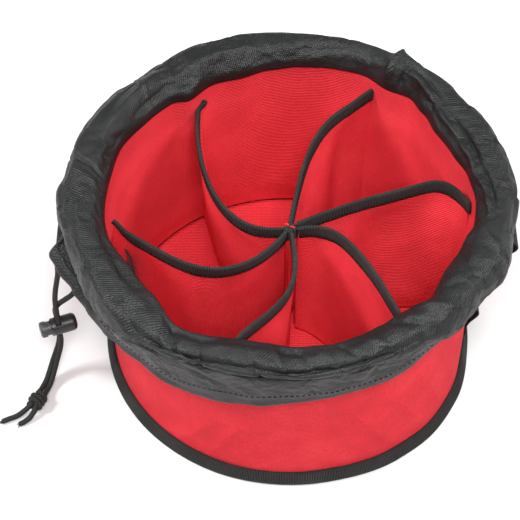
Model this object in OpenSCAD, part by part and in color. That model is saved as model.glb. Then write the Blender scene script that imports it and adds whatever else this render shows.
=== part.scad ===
// Drawstring tool organizer bag: a round stiffened cloth bin with six curved dividers,
// a collar turned out over the rim, side webbing, and a drawstring with a spring cord lock.
// Millimetres. The origin is the centre of the base on the floor, +Z up, -Y the plain front.

/* [Bag body] */
// Outer radius of the round wall
wall_r = 121.5; // [118:0.5:124]
// Height of the wall's rim above the floor
wall_h = 142; // [138:1:146]
// Thickness of one layer of woven cloth
cloth_t = 0.8; // [0.6:0.1:0.9]
// Thickness of the foam sewn between the wall's two cloths
foam_t = 1.4; // [1:0.1:1.6]
// Thickness of the stiff board in the base
board_t = 2; // [1.5:0.1:3]
// How far the base binding stands out beyond the wall
binding_out = 5.5; // [4:0.5:7]
// Height of the base binding
binding_h = 9.5; // [8:0.5:11]

/* [Dividers] */
// Thickness of a divider, which is two layers of cloth
divider_t = 1.2; // [1:0.1:1.4]
// Height of a divider's taped edge at the wall
divider_wall_z = 132; // [126:1:134]
// Height of a divider's taped edge at the centre
divider_centre_z = 115; // [110:1:120]
// How far the folded tape reaches down each face of a divider
tape_h = 9.5; // [8:0.5:12]
// Thickness of a tape folded over a divider
tape_t = 3.2; // [3:0.1:3.4]

/* [Collar] */
// Thickness of the collar's cloth
collar_t = 1.4; // [1.2:0.1:1.5]
// Outer radius of the collar where it rolls over the rim
roll_r = 145.5; // [143:0.5:148]
// Height of the top of the roll
roll_top = 157; // [155:0.5:159]
// Radius at the middle of the collar's hem channel, away from the cord exit
hem_r = 128.2; // [128:0.1:129]
// Mean height of the lower edge of the hem
hem_z = 99.5; // [97:0.5:101]
// How much the hem's lower edge rises to the right and falls to the left
hem_swing = 14; // [12:0.5:15]

/* [Drawstring] */
// Diameter of the drawstring
cord_d = 3.6; // [3.4:0.1:3.7]

/* [Cord lock] */
// Outer diameter of the lock's barrel
barrel_d = 12.2; // [12:0.1:12.6]
// Diameter of the plunger inside the barrel
plunger_d = 9.6; // [9.5:0.1:9.8]
// How far the plunger travels when it is pressed
plunger_travel = 3.5; // [3:0.1:3.6]

/* [Side webbing] */
// Width of the webbing
webbing_w = 24; // [20:1:25]
// Thickness of the webbing
webbing_t = 1.2; // [1:0.1:1.3]
// How far the right side's upper loop stands off the wall
right_loop_out = 25; // [20:1:26]
// How far the left side's upper loop stands off the wall
left_loop_out = 29; // [24:1:29]
// How far the lower loops stand off the wall
lower_loop_out = 7; // [6.5:0.5:8]

/* [Hidden] */

red = "#d8232f";
black = "#26272a";
round_fn = 128;
small_fn = 48;
layer_gap = 0.05; // between layers sewn face to face

// Wall layers, from the outside in
foam_r = wall_r - cloth_t - layer_gap;
lining_r = foam_r - foam_t - layer_gap;
inside_r = lining_r - cloth_t;

// Base layers, from the floor up
board_z = cloth_t + layer_gap;
floor_z = board_z + board_t + layer_gap;
inside_z = floor_z + cloth_t;

// Each divider leaves the wall at an azimuth, with a heading and a reach, and comes to the
// centre at another azimuth, again with a heading and a reach: a cubic curve in plan.
divider_plans = [
    [120, -135, 10, 190, -165, 60],
    [62, -155, 45, 85, 80, 50],
    [5, 110, 40, 35, 20, 12],
    [-50, 115, 35, -12, 15, 40],
    [-110, 60, 50, -75, -80, 65],
    [-176, -30, 40, -125, -120, 75]];
divider_start_r = inside_r - 2;
divider_end_r = 5.2;
divider_stations = 14;
floor_bow = 0.5; // how much of the curve a divider keeps where it meets the floor
tape_top_t = 1;
tape_gap = 0.1;

// The collar's cuff at the cord exit: it flares out and lifts
exit_az = -169;
exit_flare = 26;
exit_lift = 13;
flare_front_span = 24;
flare_back_span = 9;
lift_back_span = 70;
// Over the side webbing the hem is pushed up: [azimuth, height, span in degrees]
side_lifts = [[0, 12, 28], [180, 24, 22]];
hook_r = 2.7;   // radius of the folded hem channel at mid thickness
shoulder_gap = 0.1; // between the collar's upper and lower parts
collar_stations = 72;
cord_sides = 8;

// The two strands run side by side down the lock and lie on the floor at the knot.
strand_half = 1.95;  // half the distance between the two strands
lock_turn = 20;      // the barrel's axis is turned this much from +X
lock_at = [-155, -31, 48];
knot_at = [-171, -63.5, 6.1];
knot_heading = -116;
knot_len = 11;
// Each point is [x, y, z, heading of the front strand from the middle]
pair_route = [
    [-155, -31, 64, -70], [-155, -31, 56, -70], [-155, -31, 48, -70], [-155, -31, 40, -70],
    [-155, -31, 34, -70], [-156, -31.6, 27, -66], [-158, -33.4, 20, -60],
    [-160.4, -36.8, 13.5, -52], [-162.6, -41.6, 8, -44], [-164.6, -47.2, 4.6, -36],
    [-166.8, -53, 4.4, -28], [-168.6, -58.6, 6.1, -26]];
front_lead = [
    [-149.7, -29.1, 110.6], [-150, -29.6, 104], [-151.4, -30.6, 96], [-153, -31.8, 88],
    [-154, -32.6, 80], [-154.3, -32.8, 72]];
back_lead = [
    [-144, -19, 115.6], [-143, -20, 108], [-141, -22, 100], [-139.5, -24, 92],
    [-139.8, -26, 84.5], [-143.2, -27.8, 78.4], [-148, -28.9, 74.4], [-152.6, -29.2, 70]];
long_end_route = [
    [-175.4, -67.4, 5.6], [-179.2, -70.2, 3.6], [-184, -73.2, 1.9], [-189, -75.6, 1.9],
    [-194, -78, 1.9]];
short_end_route = [
    [-171.8, -70.2, 5.6], [-174.6, -74.6, 3.2], [-178.4, -77.8, 1.9], [-182.2, -80, 1.9]];

// Side webbing, as heights above the floor
webbing_low = 10;
webbing_top = 136;
loops_low = 10.5;
lower_loop = [16, 46];
right_loop = [76, 125];
left_loop = [82, 117];
loops_end = 6; // how far the loop webbing runs on above the upper loop
bartack_h = 2.6;
bartack_t = 0.7;

function polar(r, az) = [r * cos(az), r * sin(az)];
function smooth(x) = let (c = min(1, max(0, x))) c * c * (3 - 2 * c);
function mix(a, b, t) = a + (b - a) * t;
function unit(v) = v / norm(v);

// A closed solid through rings that all have the same number of points. Each end is one
// face, or the faces that caps lists by their corners.
module loft(rings, caps = undef) {
    n = len(rings[0]);
    last = len(rings) - 1;
    ends = is_undef(caps) ? [[for (i = [0:n - 1]) i]] : caps;
    polyhedron(
        points = [for (ring = rings) each ring],
        faces = concat(
            ends,
            [for (end = ends) [for (i = [len(end) - 1:-1:0]) last * n + end[i]]],
            loft_sides(n, last, last + 1)));
}

// The same, where the last ring joins the first
module loft_loop(rings) {
    n = len(rings[0]);
    count = len(rings);
    polyhedron(points = [for (ring = rings) each ring], faces = loft_sides(n, count, count));
}

function loft_sides(n, spans, count) = [
    for (j = [0:spans - 1], i = [0:n - 1])
        let (k = (i + 1) % n, a = j * n, b = ((j + 1) % count) * n)
        each [[a + i, b + i, b + k], [a + i, b + k, a + k]]];

// Directions along a route at each of its points
function route_dirs(route) = [
    for (i = [0:len(route) - 1])
        unit(route[min(i + 1, len(route) - 1)] - route[max(i - 1, 0)])];

// Rings of a round cord along a route, kept square to it
function cord_rings(route, d, sides = cord_sides) =
    let (dirs = route_dirs(route))
    [for (i = [0:len(route) - 1])
        let (side = unit(cross(dirs[i], [0.3, 1, 0.2])), up = cross(side, dirs[i]))
        [for (s = [0:sides - 1])
            route[i] + (d / 2) * (cos(s * 360 / sides) * side + sin(s * 360 / sides) * up)]];

module cord(route, d = cord_d) { loft(cord_rings(route, d)); }

module ring_wall(r_out, r_in, z_low, z_high) {
    translate([0, 0, z_low]) difference() {
        cylinder(r = r_out, h = z_high - z_low, $fn = round_fn);
        translate([0, 0, -1]) cylinder(r = r_in, h = z_high - z_low + 2, $fn = round_fn);
    }
}

// ---- Bag body ----
module outer_wall() { color(red) ring_wall(wall_r, wall_r - cloth_t, board_z, wall_h); }

module wall_foam() { color("dimgray") ring_wall(foam_r, foam_r - foam_t, board_z, wall_h - 1); }

module wall_lining() { color(red) ring_wall(lining_r, inside_r, floor_z, wall_h); }

module base_panel() { color(black) cylinder(r = wall_r, h = cloth_t, $fn = round_fn); }

module base_board() {
    color("dimgray") translate([0, 0, board_z])
        cylinder(r = foam_r - foam_t - layer_gap, h = board_t, $fn = round_fn);
}

module floor_lining() {
    color(red) translate([0, 0, floor_z])
        cylinder(r = inside_r - layer_gap, h = cloth_t, $fn = round_fn);
}

module base_binding() {
    in_r = wall_r + layer_gap;
    lip_t = 2.5;
    color(black) rotate_extrude($fn = round_fn) polygon([
        [in_r, 0.5], [in_r + binding_out - 1.5, 0], [in_r + binding_out, 0.8],
        [in_r + binding_out, lip_t], [in_r + 1.6, binding_h], [in_r, binding_h]]);
}

// ---- Dividers ----
function bezier(p0, p1, p2, p3, t) =
    let (s = 1 - t)
    s * s * s * p0 + 3 * s * s * t * p1 + 3 * s * t * t * p2 + t * t * t * p3;

function divider_top_z(t) = mix(divider_wall_z, divider_centre_z, pow(t, 0.8));

// Point on divider i's middle surface, at t from wall to centre and height z
function divider_point(i, t, z) =
    let (
        plan = divider_plans[i],
        start = polar(divider_start_r, plan[0]),
        end = polar(divider_end_r, plan[3]),
        curve = bezier(start, start + polar(plan[2], plan[1]),
            end + polar(plan[5], plan[4]), end, t),
        bow = mix(floor_bow, 1, (z - inside_z) / (divider_wall_z - inside_z)))
    mix(mix(start, end, t), curve, bow);

// Unit normal of the divider in plan
function divider_side(i, t) =
    let (
        step = 0.02,
        d = divider_point(i, min(1, t + step), divider_wall_z)
            - divider_point(i, max(0, t - step), divider_wall_z))
    unit([-d[1], d[0]]);

function divider_corner(i, t, offset, z) =
    let (p = divider_point(i, t, z) + offset * divider_side(i, t))
    [p[0], p[1], z];

// Rings along divider i, where each section is a list of [offset, z] pairs
module divider_sweep(i, sections, caps) {
    loft([for (j = [0:divider_stations])
        let (t = j / divider_stations)
        [for (p = sections[j]) divider_corner(i, t, p[0], p[1])]], caps);
}

module divider(i) {
    half = divider_t / 2;
    sections = [for (j = [0:divider_stations])
        let (top = divider_top_z(j / divider_stations) - tape_top_t - tape_gap,
            low = top - tape_h + tape_top_t, bottom = inside_z + layer_gap)
        [[-half, bottom], [-half, low], [-half, top], [half, top], [half, low], [half, bottom]]];
    color(red) divider_sweep(i, sections, [[0, 1, 4, 5], [1, 2, 3, 4]]);
}

module divider_tape(i) {
    out = tape_t / 2;
    in = divider_t / 2 + tape_gap;
    sections = [for (j = [0:divider_stations])
        let (top = divider_top_z(j / divider_stations), low = top - tape_h,
            roof = top - tape_top_t)
        [[-out, low], [-out, top], [out, top], [out, low],
            [in, low], [in, roof], [-in, roof], [-in, low]]];
    color(black) divider_sweep(i, sections, [[0, 1, 6, 7], [1, 2, 5, 6], [2, 3, 4, 5]]);
}

module divider_1() { divider(0); }
module divider_2() { divider(1); }
module divider_3() { divider(2); }
module divider_4() { divider(3); }
module divider_5() { divider(4); }
module divider_6() { divider(5); }
module divider_tape_1() { divider_tape(0); }
module divider_tape_2() { divider_tape(1); }
module divider_tape_3() { divider_tape(2); }
module divider_tape_4() { divider_tape(3); }
module divider_tape_5() { divider_tape(4); }
module divider_tape_6() { divider_tape(5); }

// Where the six divider ends are gathered and sewn
join_r = 3.2;
module centre_join() {
    color(black) translate([0, 0, divider_centre_z - tape_h])
        cylinder(r = join_r, h = tape_h, $fn = small_fn);
}

// Two short red stitches on top of the join
module centre_bartack() {
    stitch_l = 2.4;
    stitch_w = 1.2;
    color("red") for (x = [-1.2, 1.2])
        translate([x, -0.6 * x, divider_centre_z + layer_gap]) rotate([0, 0, -25])
            linear_extrude(0.7) union() {
                square([stitch_l - stitch_w, stitch_w], center = true);
                for (s = [-1, 1]) translate([s * (stitch_l - stitch_w) / 2, 0])
                    circle(d = stitch_w, $fn = small_fn);
            }
}

// A small blank cloth label, sewn in beside divider 6
module care_label() {
    color(black) translate([-106, -15.8, 80]) rotate([0, 0, -30])
        translate([-5, -0.25, 0]) cube([14, 0.5, 28]);
}

// ---- Collar ----
function turn_from(az, centre) = let (d = (az - centre) % 360) d > 180 ? d - 360 : d < -180 ? d + 360 : d;

function exit_shape(az, front, back) =
    let (d = turn_from(az, exit_az)) d >= 0 ? smooth(1 - d / front) : smooth(1 + d / back);

function hem_radius(az) = hem_r + exit_flare * exit_shape(az, flare_front_span, flare_back_span);

function side_lift(az, lift) = lift[1] * smooth(1 - abs(turn_from(az, lift[0])) / lift[2]);

function hem_low(az) = hem_z + hem_swing * cos(az)
    + exit_lift * exit_shape(az, flare_front_span, lift_back_span)
    + side_lift(az, side_lifts[0]) + side_lift(az, side_lifts[1]);

function hem_mid(az) = hem_low(az) + hook_r + collar_t / 2;

function roll_out(az) = roll_r + 1.5 * cos(az - 180) + 1.2 * cos(3 * az - 120);

// Middle line of the collar's upper part at one azimuth, from the rim over to its shoulder
function roll_line(az) =
    let (roll = roll_out(az), rim = wall_h + 1.2)
    [[wall_r - 1.5, rim], [wall_r - 1, rim + 5], [wall_r + 2.5, roll_top - 4],
        [wall_r + 8, roll_top - collar_t / 2], [roll - 9, roll_top - 1.5],
        [roll - 3 - shoulder_gap, roll_top - 6 + shoulder_gap]];

// Middle line of its lower part, from the shoulder down to the end of the hem
function skirt_line(az) =
    let (r = hem_radius(az), mid = hem_mid(az), roll = roll_out(az),
        skirt_r = r + hook_r, skirt_top = wall_h - 3, fold = 7)
    concat(
        [[roll - 3 + shoulder_gap, roll_top - 6 - shoulder_gap],
            [roll - collar_t / 2, wall_h + 3], [roll - 2, skirt_top],
            [mix(roll, skirt_r, 0.5), mix(skirt_top, mid, 0.3)],
            [mix(roll, skirt_r, 0.85), mix(skirt_top, mid, 0.55)],
            [skirt_r, mix(skirt_top, mid, 0.8)]],
        [for (a = [0:45:180]) [r + hook_r * cos(a), mid - hook_r * sin(a)]],
        [[r - hook_r, mid + fold]]);

// Both faces of a thin section, from its middle line
function thicken(line, t) =
    let (dirs = [for (i = [0:len(line) - 1])
            unit(line[min(i + 1, len(line) - 1)] - line[max(i - 1, 0)])],
        side = [for (d = dirs) (t / 2) * [-d[1], d[0]]])
    concat([for (i = [0:len(line) - 1]) line[i] + side[i]],
        [for (i = [len(line) - 1:-1:0]) line[i] - side[i]]);

// A band of the collar's cloth all the way round, from its middle line at each station
module collar_band(lines) {
    color(black) loft_loop([for (j = [0:collar_stations - 1])
        let (az = j * 360 / collar_stations)
        [for (p = thicken(lines[j], collar_t)) [p[0] * cos(az), p[0] * sin(az), p[1]]]]);
}

module collar_roll() {
    collar_band([for (j = [0:collar_stations - 1]) roll_line(j * 360 / collar_stations)]);
}

module collar_skirt() {
    collar_band([for (j = [0:collar_stations - 1]) skirt_line(j * 360 / collar_stations)]);
}

// The part of the cord that runs inside the hem
module drawstring() {
    route = [for (j = [0:collar_stations - 1])
        let (az = j * 360 / collar_stations, r = hem_radius(az))
        [r * cos(az), r * sin(az), hem_mid(az)]];
    sides = [for (j = [0:collar_stations - 1])
        let (az = j * 360 / collar_stations)
        [for (s = [0:cord_sides - 1])
            route[j] + (cord_d / 2) * (cos(s * 45) * [cos(az), sin(az), 0]
                + sin(s * 45) * [0, 0, 1])]];
    color(black) loft_loop(sides);
}

// ---- Drawstring tails ----
// One strand of the pair: side is 1 for the front strand and -1 for the back one
function strand(side) = [for (p = pair_route)
    [p[0] + side * strand_half * cos(p[3]), p[1] + side * strand_half * sin(p[3]), p[2]]];

module cord_tail_front() { color(black) cord(concat(front_lead, strand(1))); }

module cord_tail_back() { color(black) cord(concat(back_lead, strand(-1))); }

// Overhand knot of both strands: three wraps around a core
module cord_knot() {
    wrap_r = 4.2;
    wrap_step = 3.1;
    color(black) translate(knot_at) rotate([0, 0, knot_heading]) rotate([0, 90, 0]) union() {
        cylinder(r = wrap_r, h = knot_len - 1, center = true, $fn = small_fn);
        for (i = [-1:1]) translate([0, 0, i * wrap_step])
            rotate_extrude($fn = small_fn) translate([wrap_r, 0]) circle(d = cord_d, $fn = 24);
    }
}

module cord_end_long() { color(black) cord(long_end_route); }

module cord_end_short() { color(black) cord(short_end_route); }

// ---- Cord lock, drawn with its axis along +Z and the cords crossing at z = 0 ----
slot_w = 8;             // across both strands
slot_low = -2.2;        // the barrel's slot, from the open end
slot_high = 2.8;
barrel_low = -5;
barrel_high = 12.5;
bore_r = plunger_d / 2 + 0.15;
bore_end = 11;
head_low = -12.5;
head_d = 11;
head_high = head_low + 4;
plunger_slot_low = -5.6;
plunger_slot_high = 2;
plunger_end = 5;

module lock_place() {
    translate(lock_at) rotate([0, 0, lock_turn]) rotate([0, 90, 0]) children();
}

// The slot runs along the cords, which cross the axis
module cord_slot(low, high) {
    translate([-10, -slot_w / 2, low]) cube([20, slot_w, high - low]);
}

module lock_barrel() {
    corner = 3;
    r = barrel_d / 2;
    scoop_r = 12;
    color(black) lock_place() difference() {
        rotate_extrude($fn = small_fn) union() {
            translate([0, barrel_low]) square([r, barrel_high - corner - barrel_low]);
            translate([0, barrel_low]) square([r - corner, barrel_high - barrel_low]);
            translate([r - corner, barrel_high - corner])
                intersection() { circle(r = corner, $fn = small_fn); square(corner); }
        }
        translate([0, 0, barrel_low - 1])
            cylinder(r = bore_r, h = bore_end - barrel_low + 1, $fn = small_fn);
        cord_slot(slot_low, slot_high);
        translate([0, 0, barrel_low - scoop_r + 1]) rotate([90, 0, 0])
            cylinder(r = scoop_r, h = 20, center = true, $fn = 96);
    }
}

module lock_plunger() {
    edge = 1.5;
    color("#3c3d40") lock_place() difference() {
        union() {
            translate([0, 0, head_low + edge])
                cylinder(d = head_d, h = head_high - head_low - edge, $fn = small_fn);
            rotate_extrude($fn = small_fn) union() {
                translate([0, head_low]) square([head_d / 2 - edge, edge]);
                translate([head_d / 2 - edge, head_low + edge])
                    intersection() {
                        circle(r = edge, $fn = small_fn);
                        translate([0, -edge]) square(edge);
                    }
            }
            translate([0, 0, head_high])
                cylinder(d = plunger_d, h = plunger_end - head_high, $fn = small_fn);
        }
        cord_slot(plunger_slot_low, plunger_slot_high);
    }
}

// Compression spring between the plunger and the closed end of the barrel
module lock_spring() {
    wire_d = 0.7;
    coil_r = 3.4;
    turns = 3.5;
    steps = 56;
    low = plunger_end + wire_d / 2 + 0.1;
    high = bore_end - wire_d / 2 - 0.1;
    route = [for (i = [0:steps])
        [coil_r * cos(i * 360 * turns / steps), coil_r * sin(i * 360 * turns / steps),
            mix(low, high, i / steps)]];
    color("silver") lock_place() loft(cord_rings(route, wire_d, 6));
}

// ---- Side webbing, drawn on the right side ----
webbing_x = wall_r + 0.1;
loops_x = webbing_x + webbing_t * 1.5 + layer_gap;

module webbing_base() {
    color(black) translate([webbing_x, -webbing_w / 2, webbing_low])
        cube([webbing_t, webbing_w, webbing_top - webbing_low]);
}

// How far the loop webbing stands out at height z, for one loop [low, high]
function loop_out(z, loop, out) =
    let (s = (z - loop[0]) / (loop[1] - loop[0]))
    s <= 0 || s >= 1 ? 0 : out * pow(sin(180 * pow(s, 1.5)), 2);

module webbing_loops(upper, upper_out) {
    steps = 44;
    line = [for (i = [0:steps])
        let (z = mix(loops_low, upper[1] + loops_end, i / steps))
        [loops_x + loop_out(z, lower_loop, lower_loop_out) + loop_out(z, upper, upper_out), z]];
    color(black) translate([0, webbing_w / 2, 0]) rotate([90, 0, 0])
        linear_extrude(webbing_w) polygon(thicken(line, webbing_t));
}

module left_side() { mirror([1, 0, 0]) children(); }

module webbing_base_right() { webbing_base(); }
module webbing_base_left() { left_side() webbing_base(); }
module webbing_loops_right() { webbing_loops(right_loop, right_loop_out); }
module webbing_loops_left() { left_side() webbing_loops(left_loop, left_loop_out); }

// Red thread bars that hold the loops down, above and below each lower loop
module bartack(z) {
    length = webbing_w - 6;
    color("red") translate([loops_x + webbing_t / 2 + layer_gap, -length / 2, z])
        cube([bartack_t, length, bartack_h]);
}

module webbing_bartacks() {
    for (z = [12, 48, 70]) {
        bartack(z);
        left_side() bartack(z);
    }
}

outer_wall();
wall_foam();
wall_lining();
base_panel();
base_board();
floor_lining();
base_binding();
divider_1();
divider_2();
divider_3();
divider_4();
divider_5();
divider_6();
divider_tape_1();
divider_tape_2();
divider_tape_3();
divider_tape_4();
divider_tape_5();
divider_tape_6();
centre_join();
centre_bartack();
care_label();
collar_roll();
collar_skirt();
drawstring();
cord_tail_front();
cord_tail_back();
cord_knot();
cord_end_long();
cord_end_short();
lock_barrel();
lock_plunger();
lock_spring();
webbing_base_left();
webbing_base_right();
webbing_loops_left();
webbing_loops_right();
webbing_bartacks();
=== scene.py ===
"""Looks of a drawstring tool organizer bag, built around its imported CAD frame.

Shapes are worked out in millimetres in the bag's own frame and turned into metres when a
mesh is made. Azimuths are in degrees, from +X towards +Y.
"""

import functools
import math

import bpy
import numpy as np
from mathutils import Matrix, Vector


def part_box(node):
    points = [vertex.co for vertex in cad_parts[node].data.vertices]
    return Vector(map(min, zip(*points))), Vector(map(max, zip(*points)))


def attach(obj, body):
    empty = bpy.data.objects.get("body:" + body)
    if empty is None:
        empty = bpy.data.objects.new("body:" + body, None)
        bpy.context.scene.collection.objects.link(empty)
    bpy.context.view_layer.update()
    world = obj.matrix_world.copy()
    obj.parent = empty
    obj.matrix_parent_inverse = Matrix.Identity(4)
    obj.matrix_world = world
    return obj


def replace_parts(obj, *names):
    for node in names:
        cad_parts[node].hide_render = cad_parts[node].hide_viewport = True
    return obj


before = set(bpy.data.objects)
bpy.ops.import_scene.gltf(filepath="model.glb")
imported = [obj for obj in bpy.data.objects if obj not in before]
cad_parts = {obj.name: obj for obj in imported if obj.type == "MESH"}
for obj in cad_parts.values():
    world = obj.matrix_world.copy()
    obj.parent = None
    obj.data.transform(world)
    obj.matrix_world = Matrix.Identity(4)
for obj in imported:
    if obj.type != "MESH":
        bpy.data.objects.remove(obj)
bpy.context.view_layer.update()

MM = 0.001
UP = (0.0, 0.0, 1.0)

# ---- Sizes the looks share with the CAD frame, in millimetres ----
WALL_R = 121.5
WALL_H = 142.0
CLOTH_T = 0.8
FOAM_T = 1.4
LAYER_GAP = 0.05
FOAM_R = WALL_R - CLOTH_T - LAYER_GAP
LINING_R = FOAM_R - FOAM_T - LAYER_GAP
INSIDE_R = LINING_R - CLOTH_T
FLOOR_Z = 2.9
INSIDE_Z = FLOOR_Z + CLOTH_T
CORD_D = 3.6
HOOK_R = 2.7
WEBBING_W = 24.0
WEBBING_T = 1.2


# ---- Numbers and curves ----
def smooth(x):
    """0 below 0, 1 above 1, and an S curve between."""
    c = np.clip(x, 0.0, 1.0)
    return c * c * (3 - 2 * c)


def mix(a, b, t):
    return a + (b - a) * t


def turn_from(az, centre):
    """The turn from centre to az, between -180 and 180."""
    return (np.asarray(az, float) - centre + 180.0) % 360.0 - 180.0


def bump(x, centre, width):
    """A smooth hump of height 1 at centre, nearly gone a width or two away."""
    return np.exp(-(((x - centre) / width) ** 2))


def polar(r, az):
    a = np.radians(az)
    return np.stack([r * np.cos(a), r * np.sin(a)], -1)


def raised(xy, z):
    """Points in plan, each lifted to its height z."""
    return np.concatenate([xy, np.broadcast_to(z, xy.shape[:-1])[..., None]], -1)


def unit(v):
    return v / np.maximum(np.linalg.norm(v, axis=-1, keepdims=True), 1e-9)


def around(*spots):
    """A smooth function of azimuth through [azimuth, value] spots, all the way round."""
    spots = sorted((a % 360.0, v) for a, v in spots)
    azimuths = np.array([spots[-1][0] - 360.0] + [a for a, _ in spots] + [spots[0][0] + 360.0])
    values = np.array([spots[-1][1]] + [v for _, v in spots] + [spots[0][1]])

    def value(az):
        az = np.asarray(az, float) % 360.0
        i = np.clip(np.searchsorted(azimuths, az, side="right") - 1, 0, len(values) - 2)
        t = smooth((az - azimuths[i]) / (azimuths[i + 1] - azimuths[i]))
        return mix(values[i], values[i + 1], t)

    return value


def soft_noise(u, v, cells_u, cells_v, seed):
    """Smooth noise, about -1 to 1, over u and v from 0 to 1. It repeats in u."""
    lattice = np.random.default_rng(seed).uniform(-1.6, 1.6, (cells_u, cells_v + 4))
    x, y = np.broadcast_arrays(np.asarray(u, float) * cells_u, np.asarray(v, float) * cells_v)
    i, j = np.floor(x).astype(int), np.clip(np.floor(y).astype(int), 0, cells_v)
    total = np.zeros(x.shape)
    for di, wu in enumerate(spline_weights(x - i)):
        for dj, wv in enumerate(spline_weights(y - j)):
            total += wu * wv * lattice[(i + di) % cells_u, np.clip(j + dj, 0, cells_v + 3)]
    return total


def spline_weights(t):
    """The four weights of a uniform cubic B-spline."""
    s = 1 - t
    return [s**3 / 6, (3 * t**3 - 6 * t**2 + 4) / 6, (3 * s**3 - 6 * s**2 + 4) / 6, t**3 / 6]


def catmull_rom(points, per_span):
    """Points on a smooth curve through the given ones; the last axis holds coordinates."""
    p = np.asarray(points, float)
    before = 2 * p[..., :1, :] - p[..., 1:2, :]
    after = 2 * p[..., -1:, :] - p[..., -2:-1, :]
    q = np.concatenate([before, p, after], axis=-2)
    t = (np.arange(per_span) / per_span)[:, None]
    spans = []
    for k in range(p.shape[-2] - 1):
        a, b, c, d = (q[..., k + n : k + n + 1, :] for n in range(4))
        spans.append(
            0.5 * (2 * b + (c - a) * t + (2 * a - 5 * b + 4 * c - d) * t**2
                   + (3 * b - a - 3 * c + d) * t**3))
    spans.append(p[..., -1:, :])
    return np.concatenate(spans, axis=-2)


def arc_lengths(line):
    steps = np.linalg.norm(np.diff(line, axis=0), axis=1)
    return np.concatenate([[0.0], np.cumsum(steps)])


def even_points(line, count):
    """count points at even spacing along a polyline."""
    s = arc_lengths(line)
    at = np.linspace(0, s[-1], count)
    return np.stack([np.interp(at, s, line[:, k]) for k in range(line.shape[1])], -1)


def smooth_path(points, step):
    """Points about a step apart on a smooth curve through the given ones."""
    line = catmull_rom(points, 24)
    return even_points(line, max(2, int(round(arc_lengths(line)[-1] / step)) + 1))


# ---- Meshes ----
def add_object(name, vertices, faces, uvs, material):
    """A piece of the bag from vertices and, for each face corner, a UV, both in millimetres."""
    mesh = bpy.data.meshes.new(name)
    mesh.from_pydata((np.asarray(vertices) * MM).tolist(), [], [list(map(int, f)) for f in faces])
    layer = mesh.uv_layers.new(name="UVMap")
    layer.data.foreach_set("uv", (np.asarray(uvs, float).reshape(-1, 2) * MM).ravel())
    mesh.polygons.foreach_set("use_smooth", [True] * len(mesh.polygons))
    mesh.materials.append(material)
    mesh.update()
    piece = bpy.data.objects.new(name, mesh)
    bpy.context.scene.collection.objects.link(piece)
    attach(piece, "bag")
    return piece


def grid_faces(nu, nv, wrap_u, wrap_v=False):
    """Quads of a grid of nu by nv vertices, and the grid corners that each one uses."""
    faces, corners = [], []
    for i in range(nu if wrap_u else nu - 1):
        for j in range(nv if wrap_v else nv - 1):
            square = [(i, j), (i + 1, j), (i + 1, j + 1), (i, j + 1)]
            faces.append([(a % nu) * nv + b % nv for a, b in square])
            corners.append(square)
    return faces, corners


def add_grid(name, points, uv_u, uv_v, material, wrap_u=False, flip=False):
    """A piece of cloth from a grid of points. uv_u and uv_v give each grid point its UV."""
    nu, nv = points.shape[:2]
    faces, corners = grid_faces(nu, nv, wrap_u)
    if flip:
        faces = [f[::-1] for f in faces]
        corners = [c[::-1] for c in corners]
    at = np.array(corners)
    uvs = np.stack([uv_u[at[..., 0], at[..., 1]], uv_v[at[..., 0], at[..., 1]]], -1)
    return add_object(name, points.reshape(-1, 3), faces, uvs, material)


def bake(piece):
    """Gives a piece the mesh that its modifiers make."""
    graph = bpy.context.evaluated_depsgraph_get()
    mesh = bpy.data.meshes.new_from_object(piece.evaluated_get(graph))
    piece.modifiers.clear()
    piece.data = mesh


def thicken(piece, thickness):
    """Gives cloth its thickness, closed at its edges."""
    solid = piece.modifiers.new("thickness", "SOLIDIFY")
    solid.thickness = thickness * MM
    solid.offset = 0.0
    solid.use_even_offset = False
    bake(piece)


def travel_frames(path, first_up):
    """A side and an up direction at each point of a path, carried along without twisting."""
    along = unit(np.gradient(path, axis=0))
    ups = []
    up = np.asarray(first_up, float)
    for d in along:
        up = up - (up @ d) * d
        up = up / np.linalg.norm(up)
        ups.append(up)
    ups = np.array(ups)
    return np.cross(along, ups), ups


def add_sweep(name, path, sections, sides, ups, material, loop=False):
    """A closed solid along a path. sections holds [side, up] offsets, for all points or for each."""
    sections = np.broadcast_to(sections, (len(path), *sections.shape[-2:]))
    rings = path[:, None, :] + sections[..., :1] * sides[:, None] + sections[..., 1:] * ups[:, None]
    n, m = rings.shape[:2]
    faces, corners = grid_faces(n, m, loop, True)
    around_v = arc_lengths(np.concatenate([sections[n // 2], sections[n // 2, :1]]))
    along_u = arc_lengths(np.concatenate([path, path[:1]]))
    at = np.array(corners)
    uvs = list(np.stack([along_u[at[..., 0]], around_v[at[..., 1]]], -1).reshape(-1, 2))
    if not loop:
        faces.append(list(range(m)))
        faces.append([(n - 1) * m + k for k in range(m)][::-1])
        uvs += list(sections[0]) + list(sections[-1][::-1])
    return add_object(name, rings.reshape(-1, 3), faces, uvs, material)


def add_thread(name, line, section, first_up, material):
    """A closed solid of one section along a line, carried along without twisting."""
    sides, ups = travel_frames(line, first_up)
    return add_sweep(name, line, section, sides, ups, material)


def circle(radius, count):
    a = np.arange(count) * 2 * math.pi / count
    return np.stack([radius * np.cos(a), radius * np.sin(a)], -1)


def join(name, pieces):
    """One piece made of several, with the first one's body."""
    bpy.ops.object.select_all(action="DESELECT")
    for piece in pieces:
        piece.select_set(True)
    bpy.context.view_layer.objects.active = pieces[0]
    if len(pieces) > 1:
        bpy.ops.object.join()
    pieces[0].name = name
    return pieces[0]


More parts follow.
